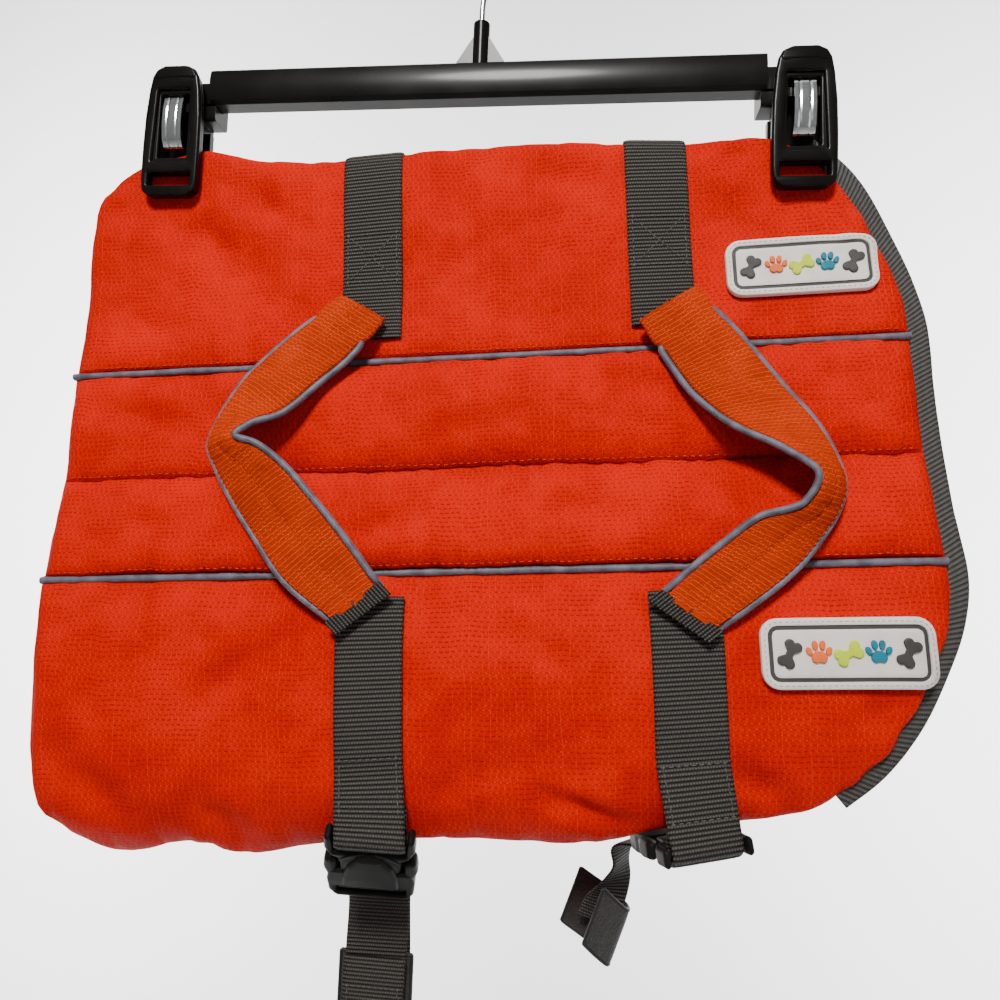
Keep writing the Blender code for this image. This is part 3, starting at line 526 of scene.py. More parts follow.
def bright_chrome(name):
    recipe = Recipe(name, metallic=1.0, roughness=0.12, base_color=(0.72, 0.73, 0.74, 1.0))
    where, (x, y, z) = recipe.place()
    brushed = recipe.grain(recipe.join(x * 2.5, y * 0.3, z * 0.3), 1.0, 3.0, 0.6)
    spots = recipe.grain(where, 260.0, 3.0)
    recipe.colour(recipe.blend(spots.between(0.4, 0.75) * 0.35, (0.78, 0.79, 0.80),
                               (0.42, 0.43, 0.45)))
    recipe.roughness(0.08 + 0.16 * brushed)
    recipe.bump(brushed, 0.02, 0.5)
    return recipe.material


def soft_rubber(name, colour, tint=0.9):
    """Moulded rubber, matt, a little dusty."""
    recipe = Recipe(name, roughness=0.55, specular_ior_level=0.4)
    where, _ = recipe.place()
    dust = recipe.grain(where, 120.0, 4.0, 0.6)
    skin = recipe.grain(where, 1400.0, 2.0, 0.6)
    darker = [c * tint for c in colour]
    recipe.colour(recipe.blend(dust.between(0.4, 0.75), colour, darker))
    recipe.roughness(0.48 + 0.2 * dust)
    recipe.bump(skin, 0.03, 0.6)
    return recipe.material


def loop_pile(name, colour, light):
    """The fuzzy loop side of a hook-and-loop strip, with painted shade between the loops and
    painted highlights on their tops.
    """
    recipe = Recipe(name, roughness=0.85, sheen_weight=0.35, sheen_roughness=0.5)
    where, _ = recipe.place()
    loops = recipe.grain(where, 900.0, 4.0, 0.7, 1.0)
    clumps = recipe.grain(where, 260.0, 3.0, 0.6)
    # painted shade: darker where the loops sink
    base = recipe.blend(loops.between(0.35, 0.7), dyed(colour, 0.35), colour)
    # painted highlight: the pale colour on the loops' tops
    recipe.colour(recipe.blend(loops.between(0.62, 0.8) * 0.6, base, light))
    recipe.bump(loops + clumps * 0.5, 0.45, 1.0)
    return recipe.material


def thread(name, colour):
    """Two-ply sewing thread."""
    recipe = Recipe(name, roughness=0.6, specular_ior_level=0.1)
    where, _ = recipe.place()
    ply = recipe.grain(where, 2600.0, 2.0)
    recipe.colour(recipe.blend(ply.between(0.35, 0.7), dyed(colour, 0.6), colour))
    recipe.bump(ply, 0.05, 0.8)
    return recipe.material


def stage_paint(name, colour):
    recipe = Recipe(name, roughness=0.9, specular_ior_level=0.1)
    where, _ = recipe.place()
    faint = recipe.grain(where, 3.0, 3.0)
    darker = dyed(colour, 0.985)
    recipe.colour(recipe.blend(faint, colour, darker))
    return recipe.material


FINISHES = {}


def finish(name):
    """Each material, made once."""
    if name not in FINISHES:
        colours = bpy.context.scene.jacket_colours
        sizes = bpy.context.scene.jacket_sizes
        shell, webbing = list(colours.shell), list(colours.webbing)
        makers = {
            # the third colour of the shell and the handles is darker: it gives the painted shade
            # as well as the weave's dark gaps
            "shell": lambda: ripstop(name, shell, (0.9, 0.035, 0.004),
                                     [shell[0] * 0.74, shell[1] * 0.3, shell[2] * 0.2],
                                     sizes.ripstop_pitch, 0.18),
            "handle": lambda: ripstop(name, list(colours.handle), (1.0, 0.13, 0.02),
                                      dyed(colours.handle, 0.68),
                                      sizes.ripstop_pitch * 0.8, 0.6),
            # the second colour of each webbing, binding and pile is its painted highlight
            "webbing": lambda: webbing_cloth(name, webbing, (0.25, 0.235, 0.21),
                                             sizes.webbing_rib),
            "narrow_webbing": lambda: webbing_cloth(name, dyed(webbing, 0.75),
                                                    (0.26, 0.24, 0.22), 1.3),
            "binding": lambda: diagonal_binding(name, dyed(webbing, 0.8),
                                                (0.26, 0.25, 0.23)),
            "piping": lambda: piping_cloth(name, list(colours.piping)),
            "gloss_plastic": lambda: moulded_plastic(name, list(colours.plastic), 0.24, 0.02,
                                                     0.08),
            "satin_plastic": lambda: moulded_plastic(name, dyed(colours.plastic, 1.5),
                                                     0.42, 0.05),
            "chrome": lambda: bright_chrome(name),
            "white_rubber": lambda: soft_rubber(name, (0.86, 0.80, 0.74)),
            "grey_rubber": lambda: soft_rubber(name, (0.055, 0.052, 0.048), 0.7),
            "teal_rubber": lambda: soft_rubber(name, (0.0, 0.20, 0.29), 0.8),
            "lime_rubber": lambda: soft_rubber(name, (0.62, 0.76, 0.01), 0.85),
            "orange_rubber": lambda: soft_rubber(name, (0.93, 0.17, 0.025), 0.85),
            "narrow_binding": lambda: diagonal_binding(name, dyed(webbing, 0.8),
                                                       (0.22, 0.21, 0.19)),
            "pile": lambda: loop_pile(name, dyed(webbing, 0.6), (0.20, 0.18, 0.16)),
            "orange_thread": lambda: thread(name, (0.85, 0.06, 0.008)),
            "grey_thread": lambda: thread(name, (0.14, 0.13, 0.12)),
            "white_thread": lambda: thread(name, (0.62, 0.56, 0.50)),
        }
        FINISHES[name] = makers[name]()
    return FINISHES[name]


# ---- Geometry Nodes -----------------------------------------------------
def new_tree(name, sockets):
    """An empty tree with a geometry going in and out, and its named inputs."""
    tree = bpy.data.node_groups.new(name, "GeometryNodeTree")
    face = tree.interface
    face.new_socket("Geometry", in_out="INPUT", socket_type="NodeSocketGeometry")
    for socket, kind in sockets:
        face.new_socket(socket, in_out="INPUT", socket_type=kind)
    face.new_socket("Geometry", in_out="OUTPUT", socket_type="NodeSocketGeometry")
    return tree, tree.nodes.new("NodeGroupInput"), tree.nodes.new("NodeGroupOutput")


def tree_node(tree, kind, settings=None, inputs=None):
    made = tree.nodes.new(kind)
    for key, value in (settings or {}).items():
        setattr(made, key, value)
    for key, value in (inputs or {}).items():
        if isinstance(value, bpy.types.NodeSocket):
            tree.links.new(value, made.inputs[key])
        else:
            made.inputs[key].default_value = value
    return made


def end_tree(tree, shape, given, out):
    """Closes a tree with Realize Instances and Set Material."""
    real = tree_node(tree, "GeometryNodeRealizeInstances", None, {0: shape})
    dyed = tree_node(tree, "GeometryNodeSetMaterial", None, {
        "Geometry": real.outputs[0], "Material": given.outputs["Material"]})
    tree.links.new(dyed.outputs[0], out.inputs[0])
    return tree


def stitch_tree():
    """A short capsule of thread at each point, along its own direction."""
    tree, given, out = new_tree("Stitches", (
        ("Length", "NodeSocketFloat"), ("Thickness", "NodeSocketFloat"),
        ("Material", "NodeSocketMaterial")))
    bead = tree_node(tree, "GeometryNodeMeshUVSphere", None, {
        "Segments": 6, "Rings": 5, "Radius": 0.5})
    along = tree_node(tree, "GeometryNodeInputNamedAttribute", {"data_type": "FLOAT_VECTOR"},
                      {"Name": "along"})
    outward = tree_node(tree, "GeometryNodeInputNamedAttribute", {"data_type": "FLOAT_VECTOR"},
                        {"Name": "out"})
    first = tree_node(tree, "FunctionNodeAlignRotationToVector", {"axis": "X"},
                      {"Vector": along.outputs[0]})
    turn = tree_node(tree, "FunctionNodeAlignRotationToVector",
                     {"axis": "Z", "pivot_axis": "X"},
                     {"Rotation": first.outputs[0], "Vector": outward.outputs[0]})
    size = tree_node(tree, "ShaderNodeCombineXYZ", None, {
        0: given.outputs["Length"], 1: given.outputs["Thickness"],
        2: given.outputs["Thickness"]})
    spread = tree_node(tree, "GeometryNodeInstanceOnPoints", None, {
        "Points": given.outputs["Geometry"], "Instance": bead.outputs[0],
        "Rotation": turn.outputs[0], "Scale": size.outputs[0]})
    return end_tree(tree, spread.outputs[0], given, out)


def cord_tree():
    """A round cord along a line of points, which knows how far along and around it runs."""
    tree, given, out = new_tree("Cord", (
        ("Radius", "NodeSocketFloat"), ("Sides", "NodeSocketInt"),
        ("Material", "NodeSocketMaterial")))
    line = tree_node(tree, "GeometryNodeMeshToCurve", None, {0: given.outputs["Geometry"]})
    reach = tree_node(tree, "GeometryNodeSplineParameter")
    marked = tree_node(tree, "GeometryNodeStoreNamedAttribute",
                       {"data_type": "FLOAT", "domain": "POINT"},
                       {"Geometry": line.outputs[0], "Name": "along",
                        "Value": reach.outputs["Length"]})
    ring = tree_node(tree, "GeometryNodeCurvePrimitiveCircle", {"mode": "RADIUS"}, {
        "Resolution": given.outputs["Sides"], "Radius": given.outputs["Radius"]})
    turn = tree_node(tree, "GeometryNodeSplineParameter")
    ringed = tree_node(tree, "GeometryNodeStoreNamedAttribute",
                       {"data_type": "FLOAT", "domain": "POINT"},
                       {"Geometry": ring.outputs[0], "Name": "around",
                        "Value": turn.outputs["Factor"]})
    skin = tree_node(tree, "GeometryNodeCurveToMesh", None, {
        "Curve": marked.outputs[0], "Profile Curve": ringed.outputs[0], "Fill Caps": True})
    return end_tree(tree, skin.outputs[0], given, out)


TREES = {}


def grow(item, maker, **values):
    """Puts a tree on an item, sets its inputs, and keeps the result as plain mesh."""
    if maker not in TREES:
        TREES[maker] = maker()
    tree = TREES[maker]
    modifier = item.modifiers.new(tree.name, "NODES")
    modifier.node_group = tree
    for socket in tree.interface.items_tree:
        if socket.in_out == "INPUT" and socket.name.lower() in values:
            modifier[socket.identifier] = values[socket.name.lower()]
    apply_modifiers(item)
    item.data.shade_smooth()
    return item


def stitches(name, rows, material, pitch=None, length=None, thick=0.42, sink=0.12):
    """Stitches along rows; each row is a path and its outward directions."""
    sizes = bpy.context.scene.jacket_sizes
    pitch = pitch or sizes.stitch_pitch
    length = length or sizes.stitch_length
    places, along, outward = [], [], []
    for path, out in rows:
        path, out = resample(path, pitch, np.asarray(out, float))
        out = unit(out)
        places += list(path + out * (thick / 2 - sink))
        along += list(directions(path))
        outward += list(out)
    mesh = bpy.data.meshes.new(name)
    mesh.from_pydata((np.array(places) * MM).tolist(), [], [])
    for key, values in (("along", along), ("out", outward)):
        layer = mesh.attributes.new(key, "FLOAT_VECTOR", "POINT")
        layer.data.foreach_set("vector", np.array(values, np.float32).ravel())
    item = in_scene(name, mesh)
    grow(item, stitch_tree, length=length * MM, thickness=thick * MM, material=material)
    return turn_outwards(item)


def cord(name, path, radius, material, sides=16):
    """A round cord along a path, closed at its ends."""
    mesh = bpy.data.meshes.new(name)
    edges = [(k, k + 1) for k in range(len(path) - 1)]
    mesh.from_pydata((np.asarray(path, float) * MM).tolist(), edges, [])
    item = in_scene(name, mesh)
    grow(item, cord_tree, radius=radius * MM, sides=sides, material=material)
    return turn_outwards(item, 0.001)


# ---- padded panels ------------------------------------------------------
CLIPS = [sum(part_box(f"clip_{side}_jaw"), Vector()).x / 2 / MM for side in ("left", "right")]
CLIP_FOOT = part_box("clip_left_jaw")[0].z / MM
CLIP_HALF = (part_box("clip_left_jaw")[1].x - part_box("clip_left_jaw")[0].x) / 2 / MM
PATCHES = {side: [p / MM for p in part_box(f"patch_{side}")] for side in ("upper", "lower")}


def node_points(node):
    """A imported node's own points, each once, in millimetres."""
    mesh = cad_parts[node].data
    points = np.array([v.co for v in mesh.vertices]) / MM
    return np.unique(points.round(3), axis=0)


def pad_sections(node):
    """A packed pad's sections: where each lies, and its w, front y and back y."""
    points = node_points(node)
    u, w = to_flat(points)
    order = np.argsort(u)
    groups = np.split(order, np.flatnonzero(np.diff(u[order]) > 0.5) + 1)
    full = max(len(group) for group in groups)
    whole = [group for group in groups if len(group) >= full - 1]
    level = np.sort(w[max(groups, key=len)])[::2]
    shares = (level - level[0]) / (level[-1] - level[0])
    places = np.array([u[group].mean() for group in groups])
    low, high = (np.interp(places, [u[g].mean() for g in whole], [pick(w[g]) for g in whole])
                 for pick in (np.min, np.max))
    levels = low[:, None] + (high - low)[:, None] * shares
    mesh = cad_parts[node].data
    mesh.calc_loop_triangles()
    tree = BVHTree.FromPolygons([v.co / MM for v in mesh.vertices],
                                [t.vertices for t in mesh.loop_triangles])

    def depth(place, level, low, high, start):
        """Where a ray along Y from in front or behind meets the pad."""
        place = min(max(place, places[0] + 0.02), places[-1] - 0.02)
        level = min(max(level, low + 0.03), high - 0.03)
        hit = tree.ray_cast(Vector(hang(place, start, level)), Vector((0, -start, 0)))[0]
        return hit.y
    front, back = (np.array([[depth(place, level, low[k], high[k], start)
                              for level in levels[k]] for k, place in enumerate(places)])
                   for start in (-200.0, 200.0))
    return places, levels, front, back


def crease_depth(u, w, creases):
    """How deep the listed creases are at places of the flat garment."""
    depth = np.zeros(np.shape(u))
    for u0, w0, u1, w1, deep, wide in creases:
        run = np.array([u1 - u0, w1 - w0], float)
        share = ((u - u0) * run[0] + (w - w0) * run[1]) / run.dot(run)
        held = np.clip(share, 0, 1)
        off = np.hypot(u - u0 - held * run[0], w - w0 - held * run[1])
        fade = 0.35 + 0.65 * np.sin(np.pi * np.clip(share, 0.03, 0.97))
        depth += deep * fade * np.exp(-(off / wide) ** 2)
        depth -= 0.4 * deep * fade * np.exp(-((off - 1.7 * wide) / wide) ** 2)
    return depth


def gathers(u, distance, seed, low, high):
    """Short uneven puckers square to a seam."""
    random = np.random.default_rng(seed)
    depth = np.zeros(np.shape(u))
    places = np.cumsum(random.uniform(low, high, 90)) + U_ENDS[0] - 5
    for place in places[places < U_ENDS[1] + 5]:
        size, wide, deep = random.uniform((0.25, 1.5, 4.0), (1.0, 3.2, 15.0))
        lean = random.uniform(-0.35, 0.35)
        ridge = np.exp(-((u - place + lean * distance) / wide) ** 2)
        depth += size * ridge * np.exp(-distance / deep)
    return depth


def clip_pull(u, w):
    """Folds that fan out below the clips, and where the jaws hold the cloth still."""
    place = hang(u, 0.0, w)
    folds, free = np.zeros(np.shape(u)), np.ones(np.shape(u))
    for number, x in enumerate(CLIPS):
        dx, dz = place[..., 0] - x, place[..., 2] - CLIP_FOOT
        away = np.hypot(dx, dz - 8)
        turn = np.arctan2(dx, 14 - dz)
        fan = np.sin(turn * 9 + 1.3 * number) + 0.5 * np.sin(turn * 17 + 2 + number)
        folds += 0.75 * fan * np.exp(-away / 34) * smooth_step((away - 10) / 16)
        gap = np.hypot(np.maximum(np.abs(dx) - CLIP_HALF, 0), np.maximum(-dz, 0))
        free = np.minimum(free, smooth_step((gap - 1) / 12))
    return folds, free


def noise_field(u, w, size, seed):
    flat = np.stack([np.ravel(u) / size, np.ravel(w) / size], axis=1)
    values = [noise.noise(Vector((a, b, seed))) for a, b in flat]
    return np.reshape(values, np.shape(u))


def facing_out(surface, sign):
    """Outward directions of a grid of places on the front (-1) or the back (1)."""
    normal = unit(np.cross(np.gradient(surface, axis=0), np.gradient(surface, axis=1)))
    return np.where(normal[..., 1:2] * sign < 0, -normal, normal)


class Pad:
    """One foam-filled panel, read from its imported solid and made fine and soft."""

    def __init__(self, node, across, seams, seed):
        self.node = node
        u, w, front, back = pad_sections(node)
        if node == "flank_lower":
            w, front, back = w[:, ::-1], front[:, ::-1], back[:, ::-1]
        share = (w[0] - w[0, 0]) / (w[0, -1] - w[0, 0])
        angle = np.arccos(1 - 2 * np.clip(share, 0, 1))
        near = np.array([0, 0.3, 0.7, 1.2, 1.8, 2.7, 4.0, 5.6, 7.6])
        far = np.arange(u[0] + 9.5, u[-1] - 9.4, PAD_STEP)
        self.u = np.concatenate([u[0] + near, far, (u[-1] - near)[::-1]])
        turns = np.linspace(0, math.pi, across)
        columns = (1 - np.cos(turns)) / 2
        edges = read_smoothly(u, np.stack([w[:, 0], w[:, -1]], axis=1), self.u)
        edges += SEAM_OVERLAP[node]
        self.w = edges[:, :1] + (edges[:, 1:] - edges[:, :1]) * columns
        middle = read_smoothly(u, (front + back) / 2, self.u)
        half = read_smoothly(u, (back - front) / 2, self.u)
        middle = read_smoothly(angle, middle.T, turns).T
        half = read_smoothly(angle, half.T, turns).T
        off = np.minimum(np.abs(self.w - edges[:, :1]), np.abs(self.w - edges[:, 1:]))
        ends = np.minimum(self.u - self.u[0], self.u[-1] - self.u)[:, None]
        off = np.clip(np.minimum(off, ends) / SEAM_HALF, 0, 1)
        half = np.maximum(half - SEAM_HALF, 0) + SEAM_HALF * np.sqrt(1 - (1 - off) ** 2)
        self.flat_u = np.broadcast_to(self.u[:, None], self.w.shape)
        self.plain = hang(self.flat_u, middle - half, self.w)
        self.front = self.crumple(middle, half, -1, seams, seed)
        self.back = self.crumple(middle, half, 1, seams, seed + 40)

    def crumple(self, middle, half, sign, seams, seed):
        """The front or back surface with its creases, gathers and slack."""
        u, w = self.flat_u, self.w
        creases = (FRONT_CREASES if sign < 0 else BACK_CREASES)[self.node]
        bulge = -CREASE_DEPTH * crease_depth(u, w, creases)
        for number, (edge, deep, low, high) in enumerate(seams):
            column = w[:, :1] if edge == 0 else w[:, -1:]
            distance = np.abs(w - column)
            bulge -= GATHER_DEPTH * deep * gathers(u, distance, seed + number, low, high)
        for height, size, step in SLACK:
            bulge += height * noise_field(u, w, size, seed + step)
        folds, free = clip_pull(u, w)
        if self.node == "flank_upper":
            bulge += folds
        calm = free * smooth_step(half / 3.4)
        side = self.node.split("_")[1]
        if self.node.startswith("flank") and sign < 0:
            low, high = PATCHES[side]
            pu, pw = to_flat(np.array([(low + high) / 2]))
            du, dw = np.abs(u - pu) - 29, np.abs(w - pw) - 12.5
            calm = calm * (0.1 + 0.9 * smooth_step(np.maximum(du, dw) / 9))
        surface = hang(u, middle + sign * half, w)
        return surface + facing_out(surface, sign) * (bulge * calm)[..., None]

    def row_at(self, surface, u):
        """One line across a surface at a place along the spine."""
        k = int(np.clip(np.searchsorted(self.u, u) - 1, 0, len(self.u) - 2))
        t = (u - self.u[k]) / (self.u[k + 1] - self.u[k])
        return surface[k] * (1 - t) + surface[k + 1] * t

    def loop_at(self, u):
        """Round the pad at one place: front from its first edge, then the back."""
        return np.concatenate([self.row_at(self.front, u), self.row_at(self.back, u)[::-1]])

    def face_at(self, u, w):
        """A place on the front as it is without creases, and its outward direction."""
        def point(at_u, at_w):
            row = self.row_at(self.plain, at_u)
            levels = self.row_at(self.w, at_u)
            order = np.argsort(levels)
            return np.array([np.interp(at_w, levels[order], row[order, k]) for k in range(3)])
        here = point(u, w)
        out = np.cross(point(u + 1, w) - point(u - 1, w), point(u, w + 1) - point(u, w - 1))
        return here, unit(out if out[1] < 0 else -out)

    def seam_line(self, edge, offset, back=False):
        """A line a little way in from one edge, end to end, and its outward directions."""
        surface = self.back if back else self.front
        normal = facing_out(surface, 1 if back else -1)
        distance = np.abs(self.w - (self.w[:, :1] if edge == 0 else self.w[:, -1:]))
        line, out = [], []
        for k in range(7, len(self.u) - 7):
            order = np.argsort(distance[k])
            for rows, made in ((surface, line), (normal, out)):
                made.append([np.interp(offset, distance[k][order], rows[k][order, i])
                             for i in range(3)])
        return np.array(line), unit(soften(out, 2))

    def build(self, name, material):
        ring = np.concatenate([self.front, self.back[:, ::-1]], axis=1)
        run = np.linalg.norm(np.diff(ring, axis=1), axis=2)
        along = np.concatenate([0 * run[:, :1], np.cumsum(run, axis=1)], axis=1)
        along += self.w[:, :1] - along[:, :1]
        uvs = np.stack([np.broadcast_to(self.u[:, None], along.shape), along], axis=-1)
        item = add_mesh(name, ring.reshape(-1, 3), grid_faces(*ring.shape[:2]),
                        material, uvs.reshape(-1, 2))
        return turn_outwards(item, 0.004)


U_ENDS = to_flat(np.array([pick(node_points("spine_upper"), axis=0)
                           for pick in (np.min, np.max)]))[0]
SEAM_OVERLAP = {"flank_upper": (-0.7, 0), "spine_upper": (-0.7, 0.7), "spine_lower": (-0.7, 0.7),
                "flank_lower": (0.7, 0)}  # how far each edge reaches into its seam
PADS = {}
PAD_PLAN = {  # points across, seams as (first or last edge, depth, closest, widest spacing), seed
    "flank_upper": (58, ((0, 0.55, 7, 15), (1, 0.5, 9, 20)), 3),
    "spine_upper": (34, ((0, 0.6, 6, 13), (1, 0.5, 6, 13)), 11),
    "spine_lower": (34, ((0, 0.5, 6, 13), (1, 0.6, 6, 13)), 19),
    "flank_lower": (60, ((0, 0.55, 7, 15), (1, 0.8, 9, 22)), 27),
}


def pad(node):
    if node not in PADS:
        across, seams, seed = PAD_PLAN[node]
        PADS[node] = Pad(node, across, seams, seed)
    return PADS[node]


# ---- webbing ------------------------------------------------------------
def webbing_strip(name, centre, across, normal, width, material, thick=WEB_THICK, rib=None,
                  relief=0.17):
    """A ribbed strip of webbing along a path; width may change along it."""
    rib = rib or bpy.context.scene.jacket_sizes.webbing_rib
    widths = np.broadcast_to(width, len(centre)).astype(float)
    centre, across, normal, widths = resample(centre, rib / 4, across, normal, widths[:, None])
    across = unit(across)
    normal = unit(np.cross(directions(centre), across) * np.sign(
        np.sum(np.cross(directions(centre), across) * normal, axis=1, keepdims=True)))
    along = lengths(centre)
    steps = np.linspace(-1, 1, 23)
    edge = np.sqrt(np.clip(1 - np.abs(steps) ** 9, 0, 1))
    ridge = relief * np.abs(np.sin(math.pi * along / rib))[:, None] * edge
    body = (thick / 2 - relief) * (0.25 + 0.75 * edge)
    beads = 0.04 * np.sin(2 * math.pi * (steps * width / 2)[None, :] / 2.04
                          + math.pi * np.floor(along / rib)[:, None]) * edge \
        if np.isscalar(width) else 0.0
    side = across[:, None] * (widths / 2 * steps)[..., None]
    lift = normal[:, None] * (body + ridge + beads)[..., None]
    ring = np.concatenate([centre[:, None] + side + lift,
                           (centre[:, None] + side - lift)[:, ::-1]], axis=1)
    over = np.stack(np.broadcast_arrays(widths / 2 * steps, along[:, None]), axis=-1)
    uvs = np.concatenate([over, over[:, ::-1]], axis=1)
    item = add_mesh(name, ring.reshape(-1, 3), strip_faces(*ring.shape[:2]), material,
                    uvs.reshape(-1, 2))
    return turn_outwards(item), (centre, across, normal)


def strap_lines(side, end):
    """Centre, width and outward directions of a strap's path round its flank."""
    panel, u = pad(f"flank_{side}"), STRAP_U[end][side]
    left, right = (panel.loop_at(u + k * WEBBING / 2) for k in (-1, 1))
    centre = soften((panel.loop_at(u) * 2 + left + right) / 4, 6)
    across = unit(soften(right - left, 6))
    normal = unit(np.cross(directions(centre), across))
    outward = np.sign(normal[len(normal) // 4, 1]) * -1
    return centre, across, normal * outward


def loop_index(panel, share, back=False):
    """Where in a loop a share of the way across the panel lies."""
    columns = np.abs(panel.w[0] - panel.w[0, 0]) / abs(panel.w[0, -1] - panel.w[0, 0])
    k = int(np.argmin(np.abs(columns - share)))
    return 2 * len(columns) - 1 - k if back else k


def box_stitch(centre, across, normal, start, end, inset=2.2):
    """Rows of a sewn box with its cross, between two lengths along a strip."""
    along = lengths(centre)
    half = WEBBING / 2 - inset
    corners = {"a": (start, -half), "b": (start, half), "c": (end, half), "d": (end, -half)}

    def line(first, last):
        run = np.linspace(corners[first], corners[last], 24)
        base, wide, out = (read_smoothly(along, rows, run[:, 0])
                           for rows in (centre, across, normal))
        return base + wide * run[:, 1:] + out * (WEB_THICK / 2), out
    return [line(*pair) for pair in ("ab", "bc", "cd", "da", "ac", "bd")]


def same(vector, path):
    """One direction, for each point of a path."""
    return np.broadcast_to(np.array(vector, float), path.shape)


def placed(axes, *points):
    """Places in a buckle's own frame, where they hang."""
    return np.array([tuple(axes @ Vector(p)) for p in points])


def buckle_axes(end):
    """The buckle's frame: x across the webbing, y along it, z out of its face."""
    spec = BUCKLES[end]
    first = Vector(spec["across"]).normalized()
    third = first.cross(Vector(spec["towards"])).normalized()
    turn = Matrix((first, third.cross(first), third)).transposed().to_4x4()
    return Matrix.Translation(Vector(spec["bar"])) @ turn


def lower_strap_path(end):
    """Down the flank, then round the buckle's bar and back up behind itself."""
    panel = pad("flank_lower")
    centre, across, normal = strap_lines("lower", end)
    first, last = loop_index(panel, 0.09), loop_index(panel, 0.78)
    path = list((centre + normal * (WEB_LIFT + WEB_THICK / 2))[first:last:3])
    wide, out_of = list(across[first:last:3]), list(normal[first:last:3])
    bar = np.array(BUCKLES[end]["bar"])
    bar_wide = unit(np.array(BUCKLES[end]["across"]))
    down = unit(np.array((0.03, 0.02, -1.0)))
    out = unit(np.cross(down, bar_wide))
    out = -out if out[1] > 0 else out
    radius = 2.6 + WEB_THICK / 2
    leave = path[-1]
    free = [(leave * (1 - s) + (bar + out * radius) * s, out, s) for s in (0.4, 0.75)]
    for turn in np.linspace(0, math.pi, 9):
        facing = out * math.cos(turn) + down * math.sin(turn)
        free.append((bar + facing * radius, facing, 1.0))
    for rise, depth in ((4.5, 1.6), (8.5, 1.0), (12.0, 0.9)):
        free.append((bar - out * (depth + WEB_THICK / 2) - down * rise, -out, 1.0))
    for point, facing, share in free:
        path.append(point)
        wide.append(unit(across[last] * (1 - share) + bar_wide * share))
        out_of.append(facing)
    return np.array(path), np.array(wide), np.array(out_of)


BELLY_PATHS = {
    "rear": ((-28.9, 3.6, -424.0), (-29.2, 7.4, -434.0), (-29.9, 9.0, -450.0),
             (-30.3, 9.3, -468.0), (-30.8, 9.8, -484.0), (-31.0, 12.0, -493.0),
             (-31.2, 18.0, -498.0), (-31.4, 24.0, -494.0), (-31.6, 26.6, -484.0),
             (-33.0, 27.0, -440.0), (-35.0, 25.0, -380.0), (-38.0, 21.5, -300.0),
             (-41.0, 17.5, -220.0), (-43.0, 13.5, -165.0)),
    "front": ((74.2, 8.5, -391.0), (73.8, 13.5, -384.0), (73.8, 16.8, -372.0),
              (74.0, 18.8, -350.0), (74.5, 19.0, -290.0), (75.0, 16.5, -220.0),
              (75.6, 13.0, -165.0)),
}


def belly_path(end):
    """Out of the buckle, behind the jacket and up to its sewn lap on the back."""
    centre, across, normal = strap_lines("upper", end)
    panel = pad("flank_upper")
    first, last = loop_index(panel, 0.78, True), loop_index(panel, 0.95, True)
    lap = slice(first, last, -3) if first > last else slice(first, last, 3)
    lift = WEB_LIFT + 1.5 * WEB_THICK + 0.4
    slot = placed(buckle_axes(end), (0, 31.4, -2.5), (0, 31.4, 3.0), (0, 33.2, 5.8),
                  (0, 38.7, 6.8))
    hanging = np.array(BELLY_PATHS[end])
    path = np.concatenate([slot, hanging, (centre + normal * lift)[lap]])
    wide = unit(np.concatenate([same(BUCKLES[end]["across"], slot),
                                same((1.0, 0.05, 0), hanging), across[lap]]))
    return path, wide, unit(np.cross(directions(path), wide))


# ---- handles ------------------------------------------------------------
# Where each cord comes out of the handle's upper hem.
CORD_START = {"rear": {"outer": 9.0, "inner": 10.0}, "front": {"outer": 6.0, "inner": 11.0}}


